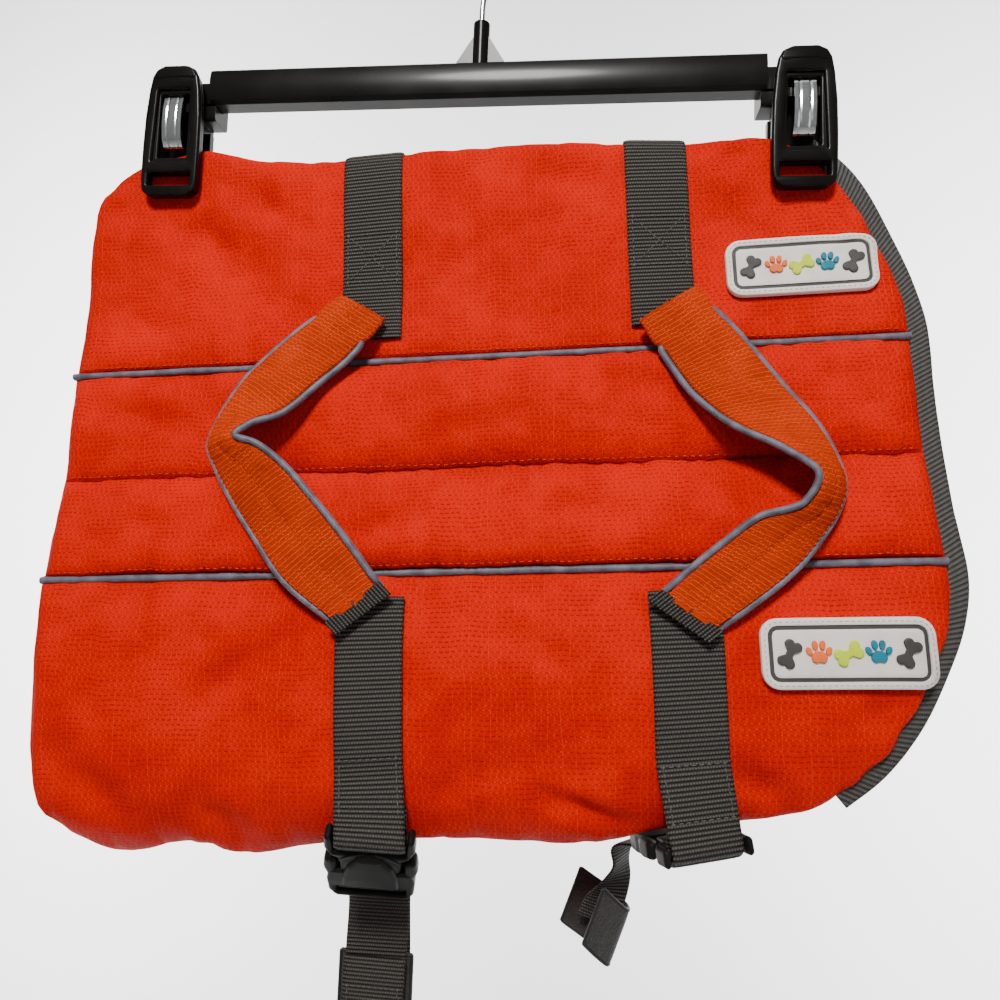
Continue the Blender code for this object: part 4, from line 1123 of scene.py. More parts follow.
class Handle:
    """A padded strip between two corded edges, sewn down at its ends."""

    def __init__(self, end, table):
        self.end = end
        table = np.array(table, float)
        run = lengths((table[:, :3] + table[:, 3:]) / 2)
        self.along = np.linspace(0, run[-1], int(run[-1] / 0.8))
        both = read_smoothly(run, table, self.along)
        self.outer, self.inner = both[:, :3], both[:, 3:]
        self.middle = (self.outer + self.inner) / 2
        self.across = unit(self.inner - self.outer)
        self.normal = np.cross(self.across, directions(self.middle))
        self.normal = unit(np.where(self.normal[:, 1:2] > 0, -self.normal, self.normal))

    def inset(self, edge):
        """How far along the width an edge's cord takes up 1 mm."""
        crossed = np.linalg.norm(np.cross(self.across, directions(edge)), axis=1)
        return 1 / np.maximum(crossed, 0.55)

    def cord_path(self, which):
        edge, sign = (self.outer, 1) if which == "outer" else (self.inner, -1)
        inset = soften(self.inset(edge)[:, None], 8)
        out = self.cord_out(which)[:, None]
        tuck = 2.4 * np.clip(1 - (self.along[-1] - self.along) / 9.0, 0, 1)[:, None] ** 1.6
        tuck = tuck + 1.0 * (1 - out)
        if which == "outer":
            inset, tuck = inset * 1.45, tuck + 0.7
        inwards = HANDLE_PIPING * inset + 2.8 * (1 - out)
        path = edge + sign * self.across * inwards - self.normal * tuck
        return path[self.along > CORD_START[self.end][which] - 3.0]

    def cord_out(self, which):
        """From 0 where a cord is still inside the hem to 1 where it is out on the edge."""
        return smooth_step((self.along - CORD_START[self.end][which]) / 6.0)

    def strip(self):
        """The strip's ring of points at each step, front then back, and their places."""
        width = np.linalg.norm(self.inner - self.outer, axis=1)
        free = 2 * HANDLE_PIPING + 0.15
        start = free * self.inset(self.outer) * self.cord_out("outer") / width
        stop = 1 - free * self.inset(self.inner) * self.cord_out("inner") / width
        start, stop = soften(start[:, None], 8), soften(stop[:, None], 8)
        share = (1 - np.cos(np.linspace(0, math.pi, 40))) / 2
        place = start + (stop - start) * share
        across = (place - 0.5) * width[:, None]
        centre = self.outer[:, None] + (self.inner - self.outer)[:, None] * place[..., None]
        swell = np.sqrt(np.clip(1 - np.abs(2 * share - 1) ** 2.6, 0, 1))
        seam = 0.55 * np.exp(-((share - 0.5) / 0.035) ** 2)
        grid_along = np.broadcast_to(self.along[:, None], across.shape)
        bend = np.exp(-((self.along - self.along[-1] * self.bend_share()) / 16) ** 2)[:, None]
        seed = 5.0 if self.end == "rear" else 9.0
        ruck = noise_field(grid_along * 3.2, across * 0.6, 9.0, seed)
        wave = noise_field(grid_along, across, 13.0, seed + 1)
        fold = np.sin(grid_along / 1.9 + 0.10 * across) * np.clip(share * 1.5 - 0.3, 0, 1)
        rumple = (0.24 + 0.5 * bend) * ruck + (0.35 + 0.5 * bend) * wave + 0.42 * bend * fold
        rims = np.clip(1 - np.abs(2 * share - 1) ** 6, 0, 1)
        ends = np.exp(-np.minimum(self.along, self.along[-1] - self.along) / 2.5)[:, None]
        half = 0.35 + (HANDLE_HALF - 0.35) * swell * (1 + 0.18 * ends)
        front = centre + self.normal[:, None] * (half - seam + rumple * rims)[..., None]
        back = centre - self.normal[:, None] * (half - 0.4 * seam + 0.4 * rumple * rims)[..., None]
        return front, back, across, grid_along

    def bend_share(self):
        return float(np.argmin(self.middle[:, 0]) if self.end == "rear"
                     else np.argmax(self.middle[:, 0])) / len(self.middle)

    def build(self):
        front, back, across, along = self.strip()
        ring = np.concatenate([front, back[:, ::-1]], axis=1)
        uv = np.stack([along, across], axis=-1)
        uvs = np.concatenate([uv, uv[:, ::-1]], axis=1)
        item = add_mesh(f"handle_{self.end}_strip", ring.reshape(-1, 3),
                        strip_faces(*ring.shape[:2]), finish("handle"), uvs.reshape(-1, 2))
        return turn_outwards(item, 0.001)

    def seam_rows(self):
        """Stitch rows: the middle seam, beside both cords, and the crossed ends."""
        front = self.strip()[0]
        rows = []
        for column, wobble in ((20, 0.25), (4, 0.0), (35, 0.0)):
            line = front[:, column] + self.normal * 0.05
            sway = np.sin(self.along * 0.9)[:, None] * self.across * wobble
            rows.append((soften(line + sway, 3), self.normal))
        for step in (3, 9, len(front) - 10, len(front) - 4):
            line = front[step, 3:-3]
            zigzag = 0.5 * np.sin(np.arange(len(line)) * 1.9)[:, None]
            rows.append((line + directions(self.middle)[step] * zigzag,
                         same(self.normal[step], line)))
        return rows


# ---- patches ------------------------------------------------------------
def rounded_rectangle(half_u, half_w, corner, count=10):
    """Its outline, counter-clockwise, with corner arcs."""
    points = []
    for quarter, (su, sw) in enumerate(((1, 1), (-1, 1), (-1, -1), (1, -1))):
        turns = math.pi / 2 * (quarter + np.linspace(0, 1, count))
        points += [(su * (half_u - corner) + corner * math.cos(t),
                    sw * (half_w - corner) + corner * math.sin(t)) for t in turns]
    return np.array(points)


def lay_on(side, centre, flat):
    """Flat points (across u, across w, height) laid on a flank round a place."""
    panel = pad(f"flank_{side}")
    made = []
    for a, b, height in flat:
        here, out = panel.face_at(centre[0] + a, centre[1] + b)
        made.append(here + out * height)
    return np.array(made)


def badge(side, centre, size):
    """A moulded plate with a rim, a dark groove round it and a raised middle."""
    half_u, half_w = size[0] / 2, size[1] / 2
    profile = (  # inset from the outline, height
        (0.0, 0.6), (0.0, 2.1), (0.25, 2.55), (0.7, 2.75), (2.1, 2.75), (2.5, 2.6), (2.6, 2.1),
        (3.9, 2.1), (4.0, 2.45), (4.3, 2.6), (5.4, 2.6), (7.5, 2.6), (9.5, 2.6), (11.4, 2.6))
    rings = []
    for inset, height in profile:
        outline = spaced_ring(rounded_rectangle(
            half_u - inset, half_w - inset, max(6.0 - inset, 0.35)), 96)
        rings.append(np.column_stack([outline, np.full(len(outline), height)]))
    count = len(rings[0])
    item = add_mesh(f"patch_{side}_plate", lay_on(side, centre, np.concatenate(rings)),
                    tube_faces(len(rings), count), finish("white_rubber"))
    item.data.materials.append(finish("grey_rubber"))
    for k in range(6 * count, 8 * count):  # the groove
        item.data.polygons[k].material_index = 1
    return sharp_by_angle(turn_outwards(item), 35)


def spaced_ring(outline, count):
    """A closed outline with evenly spaced points."""
    closed = np.vstack([outline, outline[:1]])
    places = lengths(closed)
    wanted = np.linspace(0, places[-1], count, endpoint=False)
    return np.stack([np.interp(wanted, places, closed[:, k]) for k in range(2)], axis=1)


def sharp_by_angle(item, degrees):
    item.data.shade_smooth()
    item.data.set_sharp_from_angle(angle=math.radians(degrees))
    return item


def oval(a, b, half_a, half_b, turn=0.0, count=28):
    turns = np.linspace(0, 2 * math.pi, count, endpoint=False)
    x, y = half_a * np.cos(turns), half_b * np.sin(turns)
    cos, sin = math.cos(turn), math.sin(turn)
    return np.stack([a + x * cos - y * sin, b + x * sin + y * cos], axis=1)


def bone(turn=0.0):
    """A dog bone about 9 mm long: a waisted bar with two knobs at each end."""
    angles = np.linspace(0, 2 * math.pi, 120, endpoint=False)
    knobs = [(3.0 * sx, 1.35 * sy) for sx in (-1, 1) for sy in (-1, 1)]
    reach = []
    for ray in np.stack([np.cos(angles), np.sin(angles)], axis=1):
        steps = np.linspace(0, 6.5, 260)[:, None] * ray
        inside = (np.abs(steps[:, 0]) < 3.2) & (np.abs(steps[:, 1]) < 1.25)
        for knob in knobs:
            inside |= np.hypot(steps[:, 0] - knob[0], steps[:, 1] - knob[1]) < 1.75
        reach.append(steps[np.flatnonzero(inside)[-1]])
    points = soften(np.array(reach + reach[:1]), 1)[:-1]
    cos, sin = math.cos(turn), math.sin(turn)
    return points @ np.array(((cos, sin), (-sin, cos)))


def paw():
    """A pad with four toes."""
    heel = oval(0, -1.3, 2.7, 2.2)
    heel[:, 1] += 0.75 * np.exp(-heel[:, 0] ** 2) * (heel[:, 1] < -1.3)
    return [heel] + [oval(*toe, 20) for toe in (
        (-3.3, 0.9, 1.0, 1.45, 0.45), (-1.25, 2.8, 1.05, 1.6, 0.12),
        (1.25, 2.8, 1.05, 1.6, -0.12), (3.3, 0.9, 1.0, 1.45, -0.45))]


def raised_shape(name, side, centre, offset, outlines, colour, base=2.5, rise=1.0):
    """Solid low shapes with soft rims, laid on a flank."""
    flat, faces = [], []
    for outline in outlines:
        middle, start = outline.mean(0), len(flat)
        for shrink, height in ((1.0, 0.0), (1.0, rise * 0.7), (0.93, rise * 0.95), (0.84, rise),
                               (0.45, rise), (0.12, rise)):
            ring = middle + (outline - middle) * shrink + offset
            flat += [(a, b, base + height) for a, b in ring]
        faces += tube_faces(6, len(outline), start)
    item = add_mesh(name, lay_on(side, centre, flat), faces, finish(colour))
    return sharp_by_angle(turn_outwards(item), 40)


MOTIFS = (  # across u, kind, colour, turn in degrees
    (-19.6, "bone", "grey_rubber", 62), (-9.8, "paw", "orange_rubber", 0),
    (0.0, "bone", "lime_rubber", 28), (9.8, "paw", "teal_rubber", 0),
    (19.6, "bone", "grey_rubber", 62),
)


# ---- hard pieces --------------------------------------------------------
def flat_plate(name, outlines, thick, bevel, material, place, dome=0.0):
    """A plate with rounded rims: its outline and holes in x and y, placed by a matrix."""
    data = bpy.data.curves.new(name, "CURVE")
    data.dimensions, data.fill_mode = "2D", "BOTH"
    data.extrude, data.bevel_depth = (thick / 2 - bevel), bevel
    data.offset, data.bevel_resolution = -bevel, 3
    for outline in outlines:
        spline = data.splines.new("POLY")
        spline.points.add(len(outline) - 1)
        for point, (a, b) in zip(spline.points, outline):
            point.co = (a, b, 0.0, 1.0)
        spline.use_cyclic_u = True
    shape = in_scene(name, data)
    depsgraph = bpy.context.evaluated_depsgraph_get()
    mesh = bpy.data.meshes.new_from_object(shape.evaluated_get(depsgraph))
    bpy.data.objects.remove(shape)
    for vertex in mesh.vertices:
        vertex.co.z -= dome * (vertex.co.x / 13.0) ** 2 * (vertex.co.z > 0)
    mesh.transform(Matrix.Scale(MM, 4) @ place)
    mesh.materials.clear()
    mesh.materials.append(material)
    return sharp_by_angle(turn_outwards(in_scene(name, mesh), 0.002), 40)


def smooth_outline(corners, radius, steps=6):
    """Corners (a, b) or (a, b, radius), each rounded."""
    outline = []
    count = len(corners)
    for k, corner in enumerate(corners):
        here = Vector(corner[:2])
        size = corner[2] if len(corner) > 2 else radius
        back, ahead = (Vector(corners[n % count][:2]) - here for n in (k - 1, k + 1))
        half = back.angle(ahead) / 2
        reach = min(size / math.tan(half), 0.48 * back.length, 0.48 * ahead.length)
        first, last = here + back.normalized() * reach, here + ahead.normalized() * reach
        for n in range(steps + 1):
            t = n / steps
            outline.append(tuple((1 - t) ** 2 * first + 2 * t * (1 - t) * here + t * t * last))
    return outline


def softened_copy(node, name, material, width, degrees=32):
    """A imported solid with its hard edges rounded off."""
    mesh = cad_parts[node].data.copy()
    mesh.name = name
    mesh.materials.clear()
    mesh.materials.append(material)
    work = bmesh.new()
    work.from_mesh(mesh)
    bmesh.ops.remove_doubles(work, verts=work.verts, dist=0.002 * MM)
    bmesh.ops.dissolve_limit(work, angle_limit=math.radians(1.5), verts=work.verts,
                             edges=work.edges)
    work.to_mesh(mesh)
    work.free()
    item = in_scene(name, mesh)
    rim = item.modifiers.new("rims", "BEVEL")
    rim.width, rim.segments, rim.limit_method = width * MM, 3, "ANGLE"
    rim.angle_limit = math.radians(degrees)
    apply_modifiers(item)
    sharp_by_angle(item, 50)
    item.modifiers.new("faces", "WEIGHTED_NORMAL").keep_sharp = True
    return apply_modifiers(item)


def swept(name, path, across, normal, section, material):
    """A closed section (across, out) carried along a path."""
    section = np.asarray(section, float)
    ring = (path[:, None] + across[:, None] * section[None, :, :1]
            + normal[:, None] * section[None, :, 1:])
    item = add_mesh(name, ring.reshape(-1, 3), tube_faces(*ring.shape[:2]), material)
    return sharp_by_angle(turn_outwards(item), 50)


# ---- the pieces ---------------------------------------------------------
def build_shell():
    for node in PAD_PLAN:
        item = ready(pad(node).build(f"{node}_cloth", finish("shell")), node,
                     slot="orange_ripstop")
    rows = []
    for node in PAD_PLAN:
        for back in (False, True):
            rows.append(pad(node).seam_line(0, 1.9, back))
            if node.startswith("spine"):
                rows.append(pad(node).seam_line(1, 1.7, back))
    ready(stitches("shell_topstitch", rows, finish("orange_thread")), slot="orange_ripstop")


def build_pipings():
    for side in ("upper", "lower"):
        points = node_points(f"piping_{side}")
        u, w = to_flat(points)
        order = np.argsort(u)
        groups = np.split(order, np.flatnonzero(np.diff(u[order]) > 0.5) + 1)
        full = max(len(g) for g in groups)
        groups = [g for g in groups if len(g) == full]
        path = np.array([hang(u[g].mean(), points[g, 1].min() + PIPING_RADIUS,
                              (w[g].min() + w[g].max()) / 2) for g in groups])
        back = np.array([points[g, 1].max() for g in groups])
        path, back = resample(path, 1.2, back[:, None])
        sway = 0.22 * np.array([noise.noise(Vector((s / 21.0, 2.0, w[0]))) for s in lengths(path)])
        up = hang(0, 0, 1.0) - hang(0, 0, 0.0)
        path = path + sway[:, None] * up
        node = f"piping_{side}"
        ready(cord(f"{node}_cord", path, PIPING_RADIUS, finish("piping"), 20), node,
              slot="grey_piping")
        deep = float(np.mean(back[:, 0] - path[:, 1]))
        section = ((-1.2, 0.4), (1.2, 0.4), (1.9, 1.6), (1.9, deep - 0.4), (1.2, deep),
                   (-1.2, deep), (-1.9, deep - 0.4), (-1.9, 1.6))
        ready(swept(f"{node}_flange", path, same(up, path), same((0, 1, 0), path), section,
                    finish("shell")), node, slot="grey_piping")


def sewn(name, rows, colour, slot, pitch, length, thick):
    ready(stitches(f"{name}_stitches", rows, finish(f"{colour}_thread"), pitch, length, thick),
          slot=slot)


def strap(name, lines, width, cloth, held, rests_on, node=None, cut=None, **shape):
    """A strip of webbing along lines; returns its own lines. Its cut is not used."""
    item, lines = webbing_strip(name, *lines, width, finish(cloth), **shape)
    ready(item, *([node] if node else []), slot="grey_webbing")
    return lines


def build_straps():
    for end in STRAP_U:
        centre, across, normal = strap_lines("upper", end)
        panel = pad("flank_upper")
        part = slice(loop_index(panel, 0.09), loop_index(panel, 0.78, True), 2)
        above = centre + normal * (WEB_LIFT + WEB_THICK / 2)
        name = f"strap_upper_{end}"
        lines = strap(f"{name}_webbing", (above[part], across[part], normal[part]), WEBBING,
                      "webbing", "draped", ["flank_upper_cloth"], name)
        sewn(name, box_stitch(*lines, 26, 47), "grey", "grey_webbing", 2.6, 2.0, 0.5)
        name = f"strap_lower_{end}"
        lines = strap(f"{name}_webbing", lower_strap_path(end), WEBBING, "webbing", "hung",
                      ["flank_lower_cloth"], name)
        bar_at = lengths(lines[0])[int(np.argmin(lines[0][:, 2]))]
        sewn(name, box_stitch(*lines, bar_at - 34, bar_at - 16)[:4], "grey", "grey_webbing",
             2.6, 2.0, 0.5)


def build_handles():
    for end, table in (("rear", REAR_HANDLE), ("front", FRONT_HANDLE)):
        strip = Handle(end, table)
        item = ready(strip.build(), f"handle_{end}", slot="orange_handle_cloth")
        for which in ("outer", "inner"):
            node = f"handle_{end}_piping_{which}"
            path = resample(strip.cord_path(which), 0.9)
            ready(cord(f"{node}_cord", path, HANDLE_PIPING, finish("piping"), 18), node,
                  slot="grey_piping")
        sewn(f"handle_{end}", strip.seam_rows(), "orange", "orange_handle_cloth", 2.4, 1.9, 0.4)
        line = np.linspace(strip.outer[-1], strip.inner[-1], 12)
        ahead = directions(strip.middle)[-1]
        out = same(strip.normal[-1], line)
        strap(f"handle_{end}_bar", (line + ahead * 1.6 + out * 1.4, same(ahead, line), out),
              6.5, "narrow_webbing", "folded", [f"handle_{end}_strip"], cut=10, thick=1.2,
              rib=1.3)


def build_patches():
    for side, (low, high) in PATCHES.items():
        u, w = to_flat(np.array([(low[k] + high[k]) / 2 for k in range(3)]))
        size, node = (58.0, 24.0), f"patch_{side}"
        ready(badge(side, (u, w), size), node, slot="white_rubber")
        for number, (offset, kind, colour, turn) in enumerate(MOTIFS):
            outlines = [bone(math.radians(turn))] if kind == "bone" else paw()
            ready(raised_shape(f"{node}_{kind}_{number}", side, (u, w), np.array((offset, 0.0)),
                               outlines, colour), slot="white_rubber")
        outline = spaced_ring(rounded_rectangle(size[0] / 2 - 1.4, size[1] / 2 - 1.4, 4.6), 120)
        rim = lay_on(side, (u, w), np.column_stack([outline, np.full(120, 2.75)]))
        under = lay_on(side, (u, w), np.column_stack([outline, np.full(120, 1.75)]))
        sewn(node, [(rim, unit(rim - under))], "white", "white_rubber", 2.0, 1.3, 0.36)


NECK_OUTLINE = (  # u, w, from the upper corner round to the lower one
    (142, 125.5), (155, 112.4), (168, 89.2), (174, 72), (177, 56), (177, 25), (177, -0.7),
    (177, -25), (177, -52), (174, -64), (168, -78), (157, -98), (145, -112.4), (133, -122),
)
NECK_GAP = 0.9
NECK_REACH = (7.6, 4.6)        # how far it stands out, at its upper and its lower end
NECK_TUCK = 1.6                # how far it reaches in over the panels' edge


def build_neck_band():
    flat = resample(np.array([(u, 0.0, w) for u, w in NECK_OUTLINE]), 2.0)
    ahead = directions(flat)
    out = np.stack([-ahead[:, 2], ahead[:, 1], ahead[:, 0]], axis=1)
    share = np.linspace(0, 1, len(flat))
    reach = NECK_REACH[0] * (1 - share) + NECK_REACH[1] * share
    reach = reach + NECK_GAP + NECK_TUCK
    middle = flat + out * (reach / 2 - NECK_TUCK)[:, None]
    points = node_points("neck_band")
    known = np.stack(to_flat(points), axis=1)
    depth = []
    for u, _, w in middle:
        near = np.argsort(np.hypot(known[:, 0] - u, known[:, 1] - w))[:8]
        depth.append(points[near, 1].mean())
    depth = soften(np.array(depth)[:, None], 12)[:, 0]
    path = hang(middle[:, 0], depth, middle[:, 2])
    rim = hang(middle[:, 0] + out[:, 0], depth, middle[:, 2] + out[:, 2])
    strap("neck_band_webbing", (path, unit(rim - path), same((0, -1, 0), path)), reach,
          "binding", "folded", ["flank_upper_cloth", "flank_lower_cloth"], "neck_band", 10,
          thick=1.8, rib=1.9, relief=0.12)


def build_belly_straps():
    for end in STRAP_U:
        name = f"belly_strap_{end}"
        centre, across, normal = strap(f"{name}_webbing", belly_path(end), WEBBING, "webbing",
                                       "hung", ["flank_upper_cloth"], name)
        top = lengths(centre)[-1]
        rows = box_stitch(centre, across, normal * np.sign(normal[-1:, 1:2]), top - 22, top - 3)
        sewn(name, rows, "grey", "grey_webbing", 2.6, 2.0, 0.5)


def tail(name, path, wide, facing, width, cloth, held, rests_on, **shape):
    return strap(f"{name}_webbing", (path, wide, facing), width, cloth, held,
                 [f"{rests_on}_webbing"], name, **shape)


def build_tails():
    pile = {"thick": 1.5, "rib": 1.3, "relief": 0.05}
    level, ahead = (1, 0, 0), (0, -1, 0)
    path = resample(((-30.0, 6.6, -455.0), (-30.3, 6.9, -468.0), (-30.7, 7.4, -481.0)), 1.0)
    lines = tail("belly_tail_rear", path, same(level, path), same(ahead, path), WEBBING,
                 "webbing", "hung", "belly_strap_rear")
    sewn("belly_tail_rear", box_stitch(*lines, 12, 22)[:4], "grey", "grey_webbing", 2.4, 1.8,
         0.5)

    start = placed(buckle_axes("front"), (0, 32.0, -4.7), (0, 39.0, -5.6))
    path = np.concatenate([start, [(69.5, 7.6, -404.0), (69.2, 8.4, -410.0),
                                   (67.5, 8.0, -417.0), (62.6, 6.0, -426.0),
                                   (59.8, 6.2, -433.0)]])
    wide = unit(((0.95, 0.29, 0.13), (0.9, 0.4, 0.1), (0.60, 0.78, 0.0), (0.45, 0.88, 0.0),
                 (0.72, 0.66, -0.1), (0.93, 0.20, -0.3), (0.93, 0.10, -0.33)))
    tail("belly_tail_front", path, wide, unit(np.cross(directions(path), wide)), TAIL_WEBBING,
         "narrow_webbing", "hung", "keeper_front", rib=1.3, relief=0.12)

    fold = resample(((58.6, 0.6, -429.2), (64.4, 3.0, -435.0), (68.3, 5.6, -438.6),
                     (68.6, 9.6, -438.9), (64.6, 12.0, -436.0), (49.7, 14.0, -427.0)), 0.7)
    across = same(unit((-7.7, 0.0, -22.3)), fold)
    lines = tail("keeper_front", fold, across, unit(np.cross(directions(fold), across)), 23.0,
                 "pile", "folded", "belly_tail_front", **pile)
    bound_edge("keeper_front", lines, 23.0)

    down = np.linspace((-30.4, 11.6, -455.9), (-30.4, 11.6, -482.1), 30)
    lines = tail("keeper_rear", down, same(level, down), same(ahead, down), 30.6, "pile",
                 "hung", "belly_strap_rear", **pile)
    bound_edge("keeper_rear", lines, 30.6)


def bound_edge(name, lines, width):
    """The overlocked rim of a strip: a thin cord round it."""
    centre, across, _ = lines
    half = width / 2 - 0.3
    left, right = centre - across * half, centre + across * half
    ends = [centre[k] + across[k] * np.linspace(-half, half, 16)[:, None] for k in (0, -1)]
    loop = np.concatenate([left, ends[1][1:-1], right[::-1], ends[0][::-1][1:]])
    loop = resample(loop, 0.8)
    ready(cord(f"{name}_rim", loop, 0.85, finish("narrow_binding"), 10), slot="grey_webbing")


# ---- buckles ------------------------------------------------------------
def mirrored(points):
    """An outline from its right half, top to bottom."""
    return list(points) + [(-x, *rest) for x, *rest in reversed(points)]


def build_buckles():
    material = finish("satin_plastic")
    for end in STRAP_U:
        axes = buckle_axes(end)
        shell = smooth_outline(mirrored((
            (13.3, 5.2, 1.2), (13.3, -3.0, 0.5), (14.0, -5.4, 1.0), (16.0, -4.6, 1.4),
            (16.4, 2.5, 3.0), (14.4, 7.6, 2.0), (11.2, 9.6, 1.2), (11.2, 17.4, 0.8))), 1.2)
        arch = smooth_outline(mirrored(((4.6, 6.9, 1.6), (8.6, 13.2, 3.0), (10.6, 21.0, 3.0),
                                        (10.9, 28.0, 1.5))), 1.0)
        parts = [
            flat_plate(f"buckle_{end}_socket_frame", [shell], 6.2, 1.5, material, axes),
            flat_plate(f"buckle_{end}_dome", [arch], 4.2, 1.9, material,
                       axes @ Matrix.Translation((0, 0, -2.4)), 0.9),
        ]
        for sign, which in ((-1, "left"), (1, "right")):
            prong = smooth_outline([(sign * x, y, r) for x, y, r in (
                (12.3, 11.6, 1.2), (14.6, 9.0, 2.2), (16.9, 11.0, 2.4), (17.5, 17.0, 3.0),
                (16.2, 22.6, 2.4), (12.3, 21.6, 1.4))], 1.2)
            parts.append(flat_plate(f"buckle_{end}_prong_{which}", [prong], 6.4, 1.9, material,
                                    axes))
            strut = placed(axes, (sign * 11.0, 10.4, -2.2), (sign * 9.2, 7.9, -2.6),
                           (sign * 6.0, 6.0, -2.4), (sign * 2.2, 5.2, -2.2))
            parts.append(cord(f"buckle_{end}_strut_{which}", resample(strut, 0.6), 0.95,
                              material, 12))
        bar = placed(axes, *np.linspace((-14.4, 0.0, 0.0), (14.4, 0.0, 0.0), 8))
        parts.append(cord(f"buckle_{end}_bar", bar, 1.15, material, 20))
        for number, item in enumerate(parts):
            ready(item, *([f"buckle_{end}_socket"] if number == 0 else []), slot="black_plastic")
        plug = smooth_outline(mirrored((
            (15.4, 17.9, 1.2), (16.6, 25.0, 4.0), (16.2, 33.0, 3.0), (13.5, 37.4, 2.4))), 1.2)
        slot = smooth_outline(((-13.3, 29.6), (-13.3, 34.4), (13.3, 34.4), (13.3, 29.6)), 1.0)
        item = flat_plate(f"buckle_{end}_plug_plate", [plug, slot], 6.8, 1.3, material, axes)
        ready(item, f"buckle_{end}_plug", slot="black_plastic")


# ---- hanger -------------------------------------------------------------
BAR_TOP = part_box("hanger_bar")[1].z / MM - 20.0
LOOP_RADIUS = 18.0
WIRE_RADIUS = 1.3


def hook_path():
    """Up from the boss and over in one round loop."""
    radius = LOOP_RADIUS + WIRE_RADIUS
    first, last = math.radians(-62), math.radians(208)
    turns = np.linspace(first, last, 90)
    ring = np.stack([radius * np.cos(turns), 0 * turns, radius * np.sin(turns) - LOOP_RADIUS], 1)
    foot, bend = np.array((0, 0, BAR_TOP + 9.0)), np.array((0, 0, -52.0))
    heading = np.array((-math.sin(first), 0, math.cos(first)))
    t = np.linspace(0, 1, 24)[:-1, None]
    a, b = bend + (0, 0, 8.0), ring[0] - heading * 7.0
    curve = (1 - t) ** 3 * bend + 3 * t * (1 - t) ** 2 * a + 3 * t * t * (1 - t) * b \
        + t ** 3 * ring[0]
    return resample(np.concatenate([[foot, (foot + bend) / 2], curve, ring]), 0.8)


def build_hook_and_bar():
    ready(cord("hanger_hook_wire", hook_path(), WIRE_RADIUS, finish("chrome"), 28),
          "hanger_hook", slot="chrome")
    ready(softened_copy("hanger_bar", "hanger_bar_plastic", finish("gloss_plastic"), 0.9, 25),
          "hanger_bar", slot="black_plastic")


def spring_path(x):
    points = ((-4.4, -14.2), (-6.2, -13.8), (-8.3, -15.0), (-9.3, -18.0), (-9.9, -24.0),
              (-9.6, -30.5), (-8.6, -35.0), (-6.8, -37.0), (-4.9, -36.3))
    return resample([(x, y, BAR_TOP + z) for y, z in points], 0.35)


def jaw_plates(side, x, material):
    """The front jaw: a face with a sunk frame round its window, on a thicker back."""
    place = Matrix.Translation((x, 0, BAR_TOP)) @ Matrix.Rotation(math.pi / 2, 4, "X")
    right = [(5.4, -0.7, 2.0), (8.9, -2.4, 2.0), (10.6, -5.6, 3.0), (11.7, -12, 6), (12.7, -24, 9),
             (13.0, -38, 9), (12.9, -52, 6), (12.3, -57.4, 3.0), (9.2, -60.0, 3.0)]
    outline = smooth_outline(mirrored(right), 3.0)
    sunk = smooth_outline(mirrored([(7.2, -11.4), (8.6, -44.6)]), 0.9)
    window = smooth_outline(mirrored([(6.3, -13.4), (6.6, -42.2)]), 0.6)
    slot = smooth_outline(mirrored([(9.6, -49.4), (9.6, -55.2)]), 0.8)
    inner = smooth_outline([(a * 0.965, -30.4 + (b + 30.4) * 0.985) for a, b in
                            ((c[0], c[1]) for c in mirrored(right))], 3.0)
    top_lip = smooth_outline(mirrored([(4.9, -0.9), (8.4, -2.6), (9.9, -5.6), (8.6, -7.4),
                                       (4.0, -6.6)]), 1.6)
    low_lip = smooth_outline(mirrored([(11.9, -55.6), (11.4, -58.0), (8.8, -60.1)]), 1.2)
    layers = (("face", [outline, sunk, slot], 2.6, 1.15, 8.55),
              ("back", [inner, window, slot], 3.6, 0.8, 6.6),
              ("top_lip", [top_lip], 1.7, 0.8, 9.3), ("low_lip", [low_lip], 1.5, 0.7, 9.45))
    return [flat_plate(f"clip_{side}_jaw_{name}", outlines, thick, bevel, material,
                       place @ Matrix.Translation((0, 0, depth)))
            for name, outlines, thick, bevel, depth in layers]


def build_clips():
    gloss = finish("gloss_plastic")
    for side, x in zip(("left", "right"), CLIPS):
        for number, item in enumerate(jaw_plates(side, x, gloss)):
            ready(item, *([f"clip_{side}_jaw"] if number == 0 else []), slot="black_plastic")
        node = f"clip_{side}_slider"
        ready(softened_copy(node, f"{node}_plastic", gloss, 0.6, 35), node,
              slot="black_plastic")
        path = spring_path(x)
        across = same((1, 0, 0), path)
        normal = unit(np.cross(directions(path), across))
        steps = np.linspace(-4.3, 4.3, 41)
        groove = 0.22 * (np.exp(-((np.abs(steps) - 2.1) / 0.42) ** 2))
        face = np.stack([steps, 0.4 - groove], 1)
        back = np.stack([steps, -0.4 - groove * 0.8], 1)[::-1]
        item = swept(f"clip_{side}_spring_strip", path, across, normal,
                     np.concatenate([face, back]), finish("chrome"))
        ready(item, f"clip_{side}_spring", slot="chrome")


